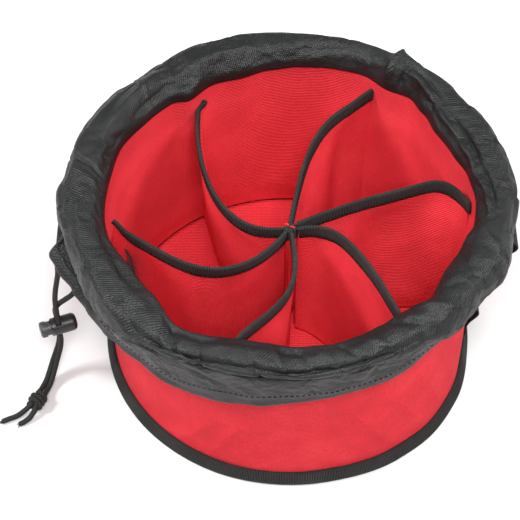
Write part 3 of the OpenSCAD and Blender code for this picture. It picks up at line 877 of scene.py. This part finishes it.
def add_divider_tape(i):
    """Ribbed tape folded over the top of a divider, sewn through near its lower edges."""
    dense = divider_points(i, np.linspace(0, 1, 200), 1.0)
    dense[:, 2] += 0.9
    count = int(arc_lengths(dense)[-1] / 0.2625)
    path = even_points(dense, count)
    along = unit(np.gradient(path, axis=0))
    below = even_points(divider_points(i, np.linspace(0, 1, 200), 0.91), count)
    ups = unit(path - below)
    ups = unit(ups - np.sum(ups * along, -1, keepdims=True) * along)
    sides = np.cross(along, ups)
    out, inner, low, roof = 1.35, 0.65, -TAPE_H, -1.0
    profile = np.array([
        [-out, low], [-inner, low], [-inner, roof], [inner, roof], [inner, low], [out, low],
        [out, -6.0], [out, -1.6], [out - 0.2, -0.5], [0.7, -0.05], [-0.7, -0.05],
        [-out + 0.2, -0.5], [-out, -1.6], [-out, -6.0]])
    outside = np.array([1, 0, 0, 0, 0, 1, 1, 1, 1, 1, 1, 1, 1, 1])
    rib = 1 + 0.045 * outside[None] * np.cos(np.arange(count) * math.pi / 2)[:, None]
    pinch = 1 + 0.12 * soft_noise(np.linspace(0, 0.9, count), 0.5, 12, 1, 60 + i)[:, None]
    sections = np.repeat(profile[None], count, 0)
    sections[..., 0] *= rib * mix(1.0, pinch, outside[None])
    along_share = np.linspace(0, 1, count)
    tall = mix(TAPE_ENDS[i], 1.0, smooth(along_share / 0.16))
    tall = tall * (1 + 0.10 * soft_noise(along_share * 0.9, 0.5, 9, 1, 80 + i))
    sections[..., 1] *= np.where(profile[:, 1] < -3, 1.0, 0.0)[None] * (tall[:, None] - 1) + 1
    # The end on the wall is folded shut: its inner faces close up on each other.
    sections[:4, 1:5, 0] = 0.0
    sections[:4, 2:4, 1] = sections[:4, 1:2, 1]
    tape = add_sweep(f"divider_tape_{i + 1}_folded", path, sections, sides, ups, black_tape)
    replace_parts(tape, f"divider_tape_{i + 1}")
    sewn = []
    for hand in (-1, 1):
        line = path + ups * (low * tall + 1.4)[:, None] + sides * hand * (out + 0.12)
        sewn.append(add_stitches(f"tape_stitches_{i + 1}_{hand}", line[6:-6], sides[6:-6] * hand,
                                 2.2, 0.4, black_thread))
    join(f"tape_stitches_{i + 1}", sewn)
    return tape


def add_centre():
    """The gathered ends of the six tapes, and the two red stitches that hold them."""
    stations, rows = 96, 16
    az, z = np.meshgrid(np.arange(stations) * 360.0 / stations,
                        np.linspace(DIVIDER_CENTRE_Z - TAPE_H, DIVIDER_CENTRE_Z + 0.6, rows),
                        indexing="ij")
    ends = [plan[3] for plan in DIVIDER_PLANS]
    lobes = sum(bump(turn_from(az, end), 0, 20.0) for end in ends)
    top = DIVIDER_CENTRE_Z + 0.6
    r = (2.6 + 3.0 * np.minimum(lobes, 1.0)) * np.sqrt(np.clip((top - z) / 2.0, 0.002, 1.0))
    points = raised(polar(r, az), z)
    turn = np.append(np.arange(stations), stations) * 2 * math.pi / stations * 4.0
    u = np.repeat(turn[:, None], rows, 1)
    v = np.repeat(np.linspace(0, TAPE_H, rows)[None], stations + 1, 0)
    bundle = add_grid("centre_bundle", points, u, v, black_tape, wrap_u=True)
    thicken(bundle, 0.5)
    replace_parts(bundle, "centre_join")
    threads = []
    for k, (x, y, heading) in enumerate(((-1.9, 1.15, -28), (1.7, -1.0, -22))):
        middle = np.array([x, y, DIVIDER_CENTRE_Z + 0.75])
        for n in (-1, 0, 1):
            across = raised(polar(0.34 * n, heading + 90), 0.0)
            t = np.linspace(-1, 1, 9)[:, None]
            line = middle + across + raised(polar(1.0, heading), 0.0) * t * 1.7
            line[:, 2] += 0.35 - 0.9 * t[:, 0] ** 4 - 0.08 * abs(n)
            threads.append(add_thread(f"red_stitch_{k}_{n + 1}", line, circle(0.26, 8), UP,
                                      red_thread))
    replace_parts(join("centre_stitches", threads), "centre_bartack")


add_dividers()
add_centre()


# ---- Collar ----
EXIT_AZ = -169.0
EXIT_LIFT = 13.0
LIFT_FRONT = 24.0
LIFT_BACK = 70.0
HEM_R = 128.2
HEM_Z = 99.5
HEM_SWING = 14.0
COLLAR_T = 0.8
COLLAR_GIRTH = 2 * math.pi * 135.0  # round the rim
COLLAR_STATIONS = 540
COLLAR_ROWS = 88
HELD_RIM, HELD_HEM = 0.07, 0.74  # shares of the way from rim to hem that are sewn and can't settle
LOOSE_WEIGHT = 0.1
COLLAR_GROWTH = 0.018
SETTLE_FRAMES = 12
SETTLE_CAP = 4.5  # the furthest that a point may settle
STITCH_SHARE = 0.765  # where the hem's stitches run
# Outer radius of the roll, height of its crest and of the lip under it, by azimuth
roll_out = around(
    [180, 149], [-174, 148.4], [-168, 146], [-160, 145], [-150, 145.6], [-141, 146.5], [-131, 144.8],
    [-124, 142.6], [-118, 141.5], [-100, 140.5], [-70, 139.5], [-57, 140.5], [-46, 143.5],
    [-35, 141.5], [-24, 147], [-12, 143], [0, 144.6], [12, 143.6], [22, 145], [34, 143.4], [42, 146],
    [50, 143.6], [58, 142.4], [66, 144.2], [75, 144.6], [88, 144.6], [100, 144.2], [109, 145.6],
    [118, 146.6], [126, 146], [133, 145.6], [139, 145], [145, 145.4], [156, 145.2], [168, 147.2],
    [174, 146.4])
crest_z = around(
    [-167, 156], [-157, 154], [-140, 152.5], [-131, 150], [-124, 146.5], [-117, 147.5], [-108, 151.5],
    [-99, 152], [-90, 148.5], [-82, 151], [-70, 152], [-60, 155], [-54, 157.5], [-44, 159], [-30, 157],
    [0, 156], [34, 155], [49, 157], [55.5, 161], [61, 156.5], [66, 155.5], [80, 155.5], [103, 156.5],
    [120, 158.5], [128, 154.5], [150, 157], [172, 157.5])
lip_z = around([-172, 141], [-158, 136], [-147, 131.5], [-138, 132.5], [-128, 139], [-118, 142.5],
               [-90, 143.5], [-60, 143], [-35, 136], [0, 139], [60, 140], [120, 140], [170, 139])
# How far the cloth tucks in under the roll
lip_tuck = around([-178, 3], [-169, 9], [-156, 10], [-143, 8.5], [-130, 9], [-116, 8], [-100, 6.5],
                  [-84, 5.5], [-75, 4.6], [-64, 3.0], [-54, 1.2], [-20, 0.4], [30, 0.8], [90, 2],
                  [140, 1.5])
# How far the hem's lower edge stands from its even swing
hem_wander = around([-147, 1], [-127, -4], [-114, -2], [-99, 0.5], [-88, 4], [-74, 4],
                    [-60, 1], [-48, 6], [-40, 8], [-30, 3], [0, 0], [60, 2], [100, -2], [140, 1],
                    [180, 0])
# Folds in the collar: from an azimuth and a share of the way from rim to hem, to another,
# then the width and the height, both in millimetres; a negative height is a valley
COLLAR_FOLDS = [
    # front: short pleats that radiate from the rim
    (-121, 0.06, -117, 0.34, 2.2, 1.5), (-116, 0.06, -112, 0.36, 2.4, -1.6),
    (-111, 0.05, -106, 0.34, 2.2, 1.3), (-104, 0.10, -97, 0.38, 2.6, -1.2),
    (-97, 0.05, -91, 0.30, 2.2, 1.3), (-90, 0.05, -83, 0.32, 2.4, -1.5),
    (-85, 0.05, -77, 0.36, 2.4, 1.6), (-79, 0.04, -70, 0.38, 2.6, -1.6),
    (-72, 0.06, -62, 0.40, 3.2, 1.8), (-63, 0.05, -52, 0.40, 3.4, -2.2),
    (-54, 0.08, -43, 0.42, 4.0, 2.0), (-45, 0.05, -37, 0.30, 3.6, -2.4),
    # left: the broad smooth roll, with one long crest and a hollow inside it
    (-178, 0.22, -128, 0.30, 7.0, 2.4), (-172, 0.10, -134, 0.14, 4.0, -1.8),
    (-146, 0.16, -126, 0.30, 3.0, -1.4), (-128, 0.10, -118, 0.30, 3.4, 2.0),
    (-125, 0.04, -121, 0.20, 2.6, -2.2),
    # right: an outer layer beyond a long ridge near the rim, and the corner that it starts from
    (54, 0.20, 36, 0.15, 2.0, 3.6), (37, 0.15, 22, 0.135, 1.9, 4.2), (23, 0.135, 6, 0.13, 1.9, 4.2),
    (7, 0.13, -11, 0.23, 2.0, 4.4), (52, 0.25, 36, 0.205, 2.4, -3.2), (36, 0.205, 6, 0.185, 2.6, -3.6),
    (6, 0.19, -8, 0.28, 2.4, -3.0), (34, 0.36, 2, 0.33, 8.0, 2.6), (0, 0.33, -30, 0.36, 7.0, 1.8),
    (56.5, 0.03, 56, 0.40, 2.0, 4.8), (52, 0.03, 51.5, 0.28, 2.0, -3.4), (47, 0.03, 46, 0.13, 2.2, -1.8),
    (34, 0.21, 31, 0.30, 1.6, 1.3), (29, 0.20, 26, 0.29, 1.6, -1.2), (24, 0.20, 21, 0.30, 1.6, 1.2),
    (18, 0.19, 15, 0.29, 1.7, -1.2), (12, 0.19, 9, 0.28, 1.7, 1.2),
    (22, 0.42, -14, 0.50, 6.0, 2.4), (4, 0.08, -6, 0.24, 3.0, -2.2),
    (-14, 0.16, -24, 0.36, 3.4, 2.0), (-25, 0.08, -33, 0.32, 3.8, -2.2),
    # back: long folds that run round the roll
    (112, 0.30, 76, 0.36, 3.0, 2.2), (104, 0.38, 70, 0.44, 3.0, -1.8),
    (92, 0.12, 70, 0.20, 3.2, -2.0), (120, 0.16, 98, 0.22, 3.0, 1.6),
    # upper left: several streaks and two creases across them
    (166, 0.16, 122, 0.24, 2.6, 2.0), (160, 0.24, 118, 0.33, 2.6, -2.0),
    (170, 0.32, 128, 0.40, 2.8, 2.0), (150, 0.10, 124, 0.13, 2.4, -1.6),
    (172, 0.40, 140, 0.46, 2.8, -1.8), (176, 0.08, 168, 0.44, 2.2, -2.2),
    (181, 0.12, 172, 0.40, 2.6, 1.6), (140, 0.10, 136, 0.34, 2.2, 1.4),
    # skirt: slack places above the hem
    (-128, 0.50, -112, 0.66, 2.6, 1.2), (-120, 0.52, -104, 0.74, 2.6, -1.2),
    (-100, 0.58, -84, 0.66, 3.0, 1.0), (-76, 0.56, -60, 0.68, 3.0, -0.9),
    (30, 0.55, 10, 0.72, 4.0, 1.6), (120, 0.52, 100, 0.74, 4.0, 1.5), (80, 0.6, 60, 0.7, 4, -1.4)]


def exit_shape(az):
    """1 at the cord exit, falling to 0 in front of it and, more slowly, behind it."""
    turn = turn_from(az, EXIT_AZ)
    return np.where(turn >= 0, smooth(1 - turn / LIFT_FRONT), smooth(1 + turn / LIFT_BACK))


def side_lift(az, centre, height, span):
    return height * smooth(1 - np.abs(turn_from(az, centre)) / span)


# How far the hem runs out to the flap that the cord hangs from, and how far it rises there
flap_out = around([-180, 0], [-177, 3], [-173, 17], [-169, 25.5], [-166, 22.5], [-161, 16],
                  [-156, 11], [-150, 7], [-144, 3.5], [-136, 0], [0, 0])
flap_lift = around([-142, 0], [-150, 2.5], [-156, 6], [-162, 9], [-167, 9.5], [-176, 4], [180, 0],
                   [0, 0])


def hem_radius(az):
    return HEM_R + flap_out(az)


def hem_mid(az):
    low = (HEM_Z + HEM_SWING * np.cos(np.radians(az)) + flap_lift(az)
           + EXIT_LIFT * exit_shape(az)
           + side_lift(az, 0, 12, 28) + side_lift(az, 180, 24, 22))
    return low + hem_wander(az) + HOOK_R + 0.7


def collar_lines(az):
    """Middle line of the collar at each azimuth, [radius, height], from the rim to the hem."""
    inner = INSIDE_R - 0.6 + rim_shift(az)
    loose = WALL_R + 0.6 * rim_shift(az)
    roll, crest, lip, tuck = roll_out(az) - 0.7, crest_z(az), lip_z(az), lip_tuck(az)
    r, mid = hem_radius(az), hem_mid(az)
    skirt_r = r + HOOK_R
    under = lip - 1.5
    # the flap runs out almost level from under the roll
    shelf = smooth(flap_out(az) / 16.0)
    # where the roll hangs over the skirt, a pocket opens under its lip
    slit = smooth((tuck - 1.5) / 3.5) * (1 - shelf)
    neck = mix(mix(roll - 1.2 - 0.8 * tuck, skirt_r, 0.38), roll - 3.2, slit)
    neck_z = mix(mix(under, mid, 0.3), lip - 7.0, slit)
    waist = mix(mix(roll - 1.0, skirt_r, 0.85), mix(roll - 4.0, skirt_r, 0.4), slit)
    waist_z = mix(mix(under, mid, 0.6), mix(lip - 8.0, mid, 0.35), slit)
    spots = [
        (inner, 141.0 + 0 * az), (inner + 0.1, 143.5 + 0 * az), (inner + 1.2, mix(144.0, crest, 0.35)),
        (loose + 2.0, crest - 2.6), (loose + 7.5, crest), (mix(loose + 7.5, roll, 0.6), crest - 1.2),
        (roll - 3.0, crest - 5.0), (roll - 0.5, mix(crest, lip, 0.55)), (roll, lip + 1.8),
        (roll - 0.8, lip), (roll - 0.9 - tuck, mix(under + 0.25 * tuck, lip + 0.4, slit)),
        (roll - 1.4 - mix(0.95, 1.0, slit) * tuck, mix(under - 1.0, lip - 6.0, slit)),
        (mix(neck, roll - 14.0, shelf), mix(neck_z, mix(under, mid, 0.45), shelf)),
        (mix(waist, mix(roll - 12.0, skirt_r, 0.35), shelf), mix(waist_z, mid + 5.2, shelf)),
        (mix(skirt_r, mix(roll - 12.0, skirt_r, 0.8), shelf),
         mix(mix(under, mid, 0.84), mid + HOOK_R + 0.9, shelf))]
    for turn in (0, 45, 90, 135, 180):
        a = math.radians(turn)
        spots.append((r + HOOK_R * math.cos(a), mid - HOOK_R * math.sin(a)))
    spots.append((r - HOOK_R, mid + 6.0))
    return np.stack([np.stack(pair, -1) for pair in spots], 1)


def fold_depth(az, share):
    """Height of all the collar's folds at each point, in millimetres."""
    total = np.zeros(az.shape)
    reach = COLLAR_GIRTH / 360.0
    for az0, v0, az1, v1, width, height in COLLAR_FOLDS:
        x, y = turn_from(az, az0) * reach, (share - v0) * 100.0
        dx, dy = (az1 - az0) * reach, (v1 - v0) * 100.0
        t = (x * dx + y * dy) / (dx * dx + dy * dy)
        inside = np.clip(t, 0, 1)
        far = np.hypot(x - inside * dx, y - inside * dy)
        taper = 0.25 + 0.75 * smooth(inside * 3) * smooth((1 - inside) * 3)
        total += height * taper * mix(np.exp(-1.2 * far / width), np.exp(-((far / width) ** 2)), 0.45)
    return total


def surface_normals(points):
    """Unit normals of a grid that wraps in its first direction."""
    du = np.roll(points, -1, 0) - np.roll(points, 1, 0)
    dv = np.gradient(points, axis=1)
    return unit(np.cross(dv, du))


def collar_grid():
    az = np.arange(COLLAR_STATIONS) * 360.0 / COLLAR_STATIONS
    lines = catmull_rom(collar_lines(az), 12)
    lines = np.stack([even_points(line, COLLAR_ROWS) for line in lines])
    share = np.repeat(np.linspace(0, 1, COLLAR_ROWS)[None], COLLAR_STATIONS, 0)
    around_az = np.repeat(az[:, None], COLLAR_ROWS, 1)
    points = raised(polar(lines[..., 0], around_az), lines[..., 1])
    normals = surface_normals(points)
    depth = fold_depth(around_az, share)
    turn = around_az / 360.0
    depth += 0.5 * soft_noise(turn, share, 60, 9, 71) + 0.15 * soft_noise(turn, share, 150, 20, 72)
    creases = np.abs(soft_noise(turn + 0.10 * share, share, 46, 9, 76))
    crossing = np.abs(soft_noise(turn - 0.06 * share, share, 38, 8, 77))
    depth += 0.85 * (0.35 - creases) + 0.55 * (0.35 - crossing)
    lip_line = bump(share, 0.40, 0.10) * smooth((lip_tuck(around_az) - 1.5) / 3.0)
    depth *= 1 - 0.85 * lip_line
    streaks = soft_noise(turn + 0.05 * share, share, 34, 26, 73)
    depth += 0.55 * streaks * (0.4 + 0.6 * side_lift(around_az, 145, 1.0, 60))
    held = smooth(share / 0.08) * smooth((0.86 - share) / 0.12)
    hem = 0.35 * soft_noise(turn, share, 120, 14, 74) * smooth((share - 0.7) / 0.1)
    points = points + normals * (depth * held + hem * smooth((1 - share) / 0.05))[..., None]
    length = np.array([arc_lengths(line)[-1] for line in lines])
    u = np.repeat((np.append(az, 360.0) / 360.0 * COLLAR_GIRTH)[:, None], COLLAR_ROWS, 1)
    v = np.concatenate([share, share[:1]]) * np.append(length, length[0])[:, None]
    return points, u, v


def crumple(piece, weights, growth, frames):
    """Lets cloth settle: it grows a little and buckles, held to its shape by its weights."""
    group = piece.vertex_groups.new(name="held")
    for weight in np.unique(weights):
        group.add(np.nonzero(weights == weight)[0].tolist(), float(weight), "REPLACE")
    cloth = piece.modifiers.new("cloth", "CLOTH")
    thin_nylon = dict(
        quality=5, mass=0.15, tension_stiffness=15.0, compression_stiffness=15.0, shear_stiffness=4.0,
        bending_stiffness=0.06, tension_damping=10.0, compression_damping=10.0, air_damping=4.0,
        vertex_group_mass="held", pin_stiffness=0.6, shrink_min=-growth)
    for setting, value in thin_nylon.items():
        setattr(cloth.settings, setting, value)
    cloth.settings.effector_weights.gravity = 0.0
    scene = bpy.context.scene
    for number in range(1, frames + 1):
        scene.frame_set(number)
    bake(piece)
    scene.frame_set(1)


def vertex_array(piece):
    co = np.zeros(len(piece.data.vertices) * 3)
    piece.data.vertices.foreach_get("co", co)
    return co.reshape(-1, 3) / MM


def set_vertices(piece, points):
    piece.data.vertices.foreach_set("co", (points.reshape(-1, 3) * MM).ravel())
    piece.data.update()


def add_collar():
    points, u, v = collar_grid()
    piece = add_grid("collar_cloth", points, u, v, collar_nylon, wrap_u=True,
                     flip=True)
    share = np.repeat(np.linspace(0, 1, COLLAR_ROWS)[None], COLLAR_STATIONS, 0).ravel()
    edge = (share < HELD_RIM) | (share > HELD_HEM)
    crumple(piece, np.where(edge, 1.0, LOOSE_WEIGHT), COLLAR_GROWTH, SETTLE_FRAMES)
    start = points.reshape(-1, 3)
    move = vertex_array(piece) - start
    size = np.linalg.norm(move, axis=1, keepdims=True)
    move *= np.minimum(1.0, SETTLE_CAP / np.maximum(size, 1e-6))
    points = (start + move).reshape(points.shape)
    set_vertices(piece, points)
    thicken(piece, COLLAR_T)
    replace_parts(piece, "collar_roll", "collar_skirt")
    normals = surface_normals(points)
    row = int(STITCH_SHARE * COLLAR_ROWS)
    order = np.append(np.arange(COLLAR_STATIONS), 0)
    wobble = 0.5 * soft_noise(np.arange(COLLAR_STATIONS + 1) / COLLAR_STATIONS, 0.5, 90, 1, 75)
    down = unit(points[order, row + 1] - points[order, row])
    line = points[order, row] + down * wobble[:, None] + normals[order, row] * (COLLAR_T / 2 + 0.1)
    stitches = add_stitches("hem_stitches", line, normals[order, row], 2.4, 0.55, black_thread)
    az = np.arange(360.0)
    ring = raised(polar(hem_radius(az), az), hem_mid(az))
    inside = add_sweep("drawstring_in_hem", ring, circle(CORD_D / 2, 10), raised(polar(1.0, az), 0.0),
                       np.repeat([UP], len(az), 0), cord_braid, loop=True)
    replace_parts(inside, "drawstring")


add_collar()


# ---- Side webbing ----
WEBBING_X = WALL_R + 0.1
LOOPS_X = WEBBING_X + WEBBING_T * 1.5 + LAYER_GAP
WEBBING_LOW = 10.0
WEBBING_TOP = 136.0
LOWER_LOOP = (16.0, 46.0, 7.0)
UPPER_LOOPS = {"right": (76.0, 125.0, 25.0), "left": (82.0, 117.0, 29.0)}
LOOPS_LOW = 10.5
LOOPS_END = 6.0
BARTACKS = (12.0, 48.0, 70.0)
BARTACK_H = 2.6


def loop_out(z, low, high, out):
    """How far a loop [low, high] of webbing stands off the wall at height z."""
    s = np.clip((z - low) / (high - low), 0, 1)
    return out * np.sin(math.pi * s**1.5) ** 2


def webbing_section():
    """A flat band with rounded, slightly thicker edges, as [width, thickness] offsets."""
    half_w, half_t = WEBBING_W / 2, WEBBING_T / 2
    flat = np.linspace(-half_w + 1.2, half_w - 1.2, 9)
    return np.array(
        [[w, -half_t * 0.82] for w in flat] + [[half_w - 0.2, -half_t * 0.8], [half_w, 0.0],
                                               [half_w - 0.2, half_t * 0.8]]
        + [[w, half_t * 0.82] for w in flat[::-1]] + [[-half_w + 0.2, half_t * 0.8],
                                                      [-half_w, 0.0],
                                                      [-half_w + 0.2, -half_t * 0.8]])


def add_webbing_strip(name, line, hand, node):
    """A band of webbing that follows a line of [distance from the axis, height] points."""
    path = np.stack([hand * line[:, 0], np.zeros(len(line)), line[:, 1]], -1)
    along = unit(np.gradient(path, axis=0))
    sides = np.repeat([[0.0, 1.0, 0.0]], len(path), 0)
    strip = add_sweep(name, path, webbing_section(), sides, np.cross(sides, along), webbing_cloth)
    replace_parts(strip, node)


def add_bartack(name, x, z):
    """A dense bar of red zigzag stitches across the webbing, standing on it."""
    length = WEBBING_W - 6
    passes = 22
    y = np.linspace(-length / 2, length / 2, passes * 2 + 1)
    heights = z + BARTACK_H * 0.5 + np.where(np.arange(len(y)) % 2, 1, -1) * BARTACK_H * 0.42
    line = smooth_path(np.stack([np.full(len(y), x), y, heights], -1), 0.35)
    zigzag = add_thread(name, line, circle(0.27, 6), (1.0, 0.1, 0.0), red_thread)
    core = np.stack([np.full(12, x - 0.12 * np.sign(x)), np.linspace(-length / 2, length / 2, 12),
                     np.full(12, z + BARTACK_H / 2)], -1)
    oval = circle(1.0, 10) * [0.22, BARTACK_H * 0.42]
    return [zigzag, add_thread(name + "_bed", core, oval, UP, red_thread)]


def add_side_webbing():
    bars = []
    for side, hand in (("right", 1), ("left", -1)):
        z = np.linspace(WEBBING_LOW, WEBBING_TOP, 90)
        base = np.stack([WEBBING_X + WEBBING_T / 2 + 0 * z, z], -1)
        add_webbing_strip(f"webbing_base_strip_{side}", base, hand, f"webbing_base_{side}")
        upper = UPPER_LOOPS[side]
        z = np.linspace(LOOPS_LOW, upper[1] + LOOPS_END, 400)
        out = loop_out(z, *LOWER_LOOP) + loop_out(z, *upper)
        line = smooth_path(np.stack([LOOPS_X + out, z], -1), 1.2)
        add_webbing_strip(f"webbing_loops_strip_{side}", line, hand, f"webbing_loops_{side}")
        for k, z in enumerate(BARTACKS):
            x = hand * (LOOPS_X + WEBBING_T / 2 + 0.25)
            bars += add_bartack(f"bartack_{side}_{k}", x, z)
    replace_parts(join("webbing_bartack_threads", bars), "webbing_bartacks")


add_side_webbing()


# ---- Label ----
def add_label():
    """A blank folded satin label, standing out of the seam beside divider 6."""
    low, high = (np.array(corner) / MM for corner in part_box("care_label"))
    width, rows = 14.0, 40
    t = np.linspace(0, 1, 24)
    fold = np.concatenate([np.stack([t * width, 0.32 + 0.5 * np.sin(t * math.pi)], -1),
                           np.stack([width + 0.3 - 0.3 * (2 * t[1:] - 1) ** 2, 0.32 - 0.64 * t[1:]], -1),
                           np.stack([(1 - t[1:]) * width, -0.32 + 0.5 * np.sin(t[1:] * math.pi)], -1)])
    heights = np.linspace(low[2], high[2], rows)
    turn = math.radians(-62.0)
    along = np.array([math.cos(turn), math.sin(turn)])
    across = np.array([-math.sin(turn), math.cos(turn)])
    start = np.array([-106.5, -15.0]) - 4.0 * along
    lean = 1.2 * np.sin(np.linspace(0, math.pi, rows))[None, :, None] * across
    xy = start + fold[:, None, :1] * along + fold[:, None, 1:] * across + lean
    points = raised(xy, heights)
    u = np.repeat(arc_lengths(fold)[:, None], rows, 1)
    v = np.repeat(heights[None], len(fold), 0)
    label = add_grid("label_loop", points, u, v, label_cloth)
    thicken(label, 0.22)
    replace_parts(label, "care_label")


add_label()


# ---- CAD nodes that stay, with finished materials ----
def dress(node, material):
    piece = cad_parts[node]
    piece.data.materials.clear()
    piece.data.materials.append(material)


dress("base_board", board_plastic)
dress("lock_barrel", lock_plastic)
dress("lock_plunger", plunger_plastic)
dress("lock_spring", spring_steel)


# ---- Floor and light ----
def add_stage():
    bpy.ops.mesh.primitive_plane_add(size=8.0, location=(0, 0, -0.0002))
    floor = bpy.context.object
    floor.name = "stage_floor"
    floor.data.materials.append(pale_floor())


def add_soft_light(name, place, size, power):
    """A large square light that faces the bag."""
    lamp = bpy.data.objects.new(name, bpy.data.lights.new(name, "AREA"))
    bpy.context.scene.collection.objects.link(lamp)
    lamp.data.size = size
    lamp.data.energy = power
    lamp.location = place
    lamp.rotation_euler = (Vector((0, 0, 0.08)) - Vector(place)).to_track_quat("-Z", "Y").to_euler()


def light_the_room():
    world = bpy.data.worlds.new("soft_room")
    world.use_nodes = True
    backdrop = world.node_tree.nodes["Background"]
    backdrop.inputs["Color"].default_value = (1.0, 1.0, 1.0, 1.0)
    backdrop.inputs["Strength"].default_value = 0.35
    bpy.context.scene.world = world
    add_soft_light("front_light", (0.0, -0.9, 1.45), 0.5, 23.0)
    add_soft_light("top_light", (0.3, 0.0, 1.6), 0.35, 6.0)
    add_soft_light("left_light", (-1.15, 0.0, 1.25), 0.35, 18.0)
    add_soft_light("right_light", (1.15, 0.0, 1.25), 0.5, 14.5)
    bpy.context.scene.view_settings.view_transform = "Standard"


add_stage()
light_the_room()
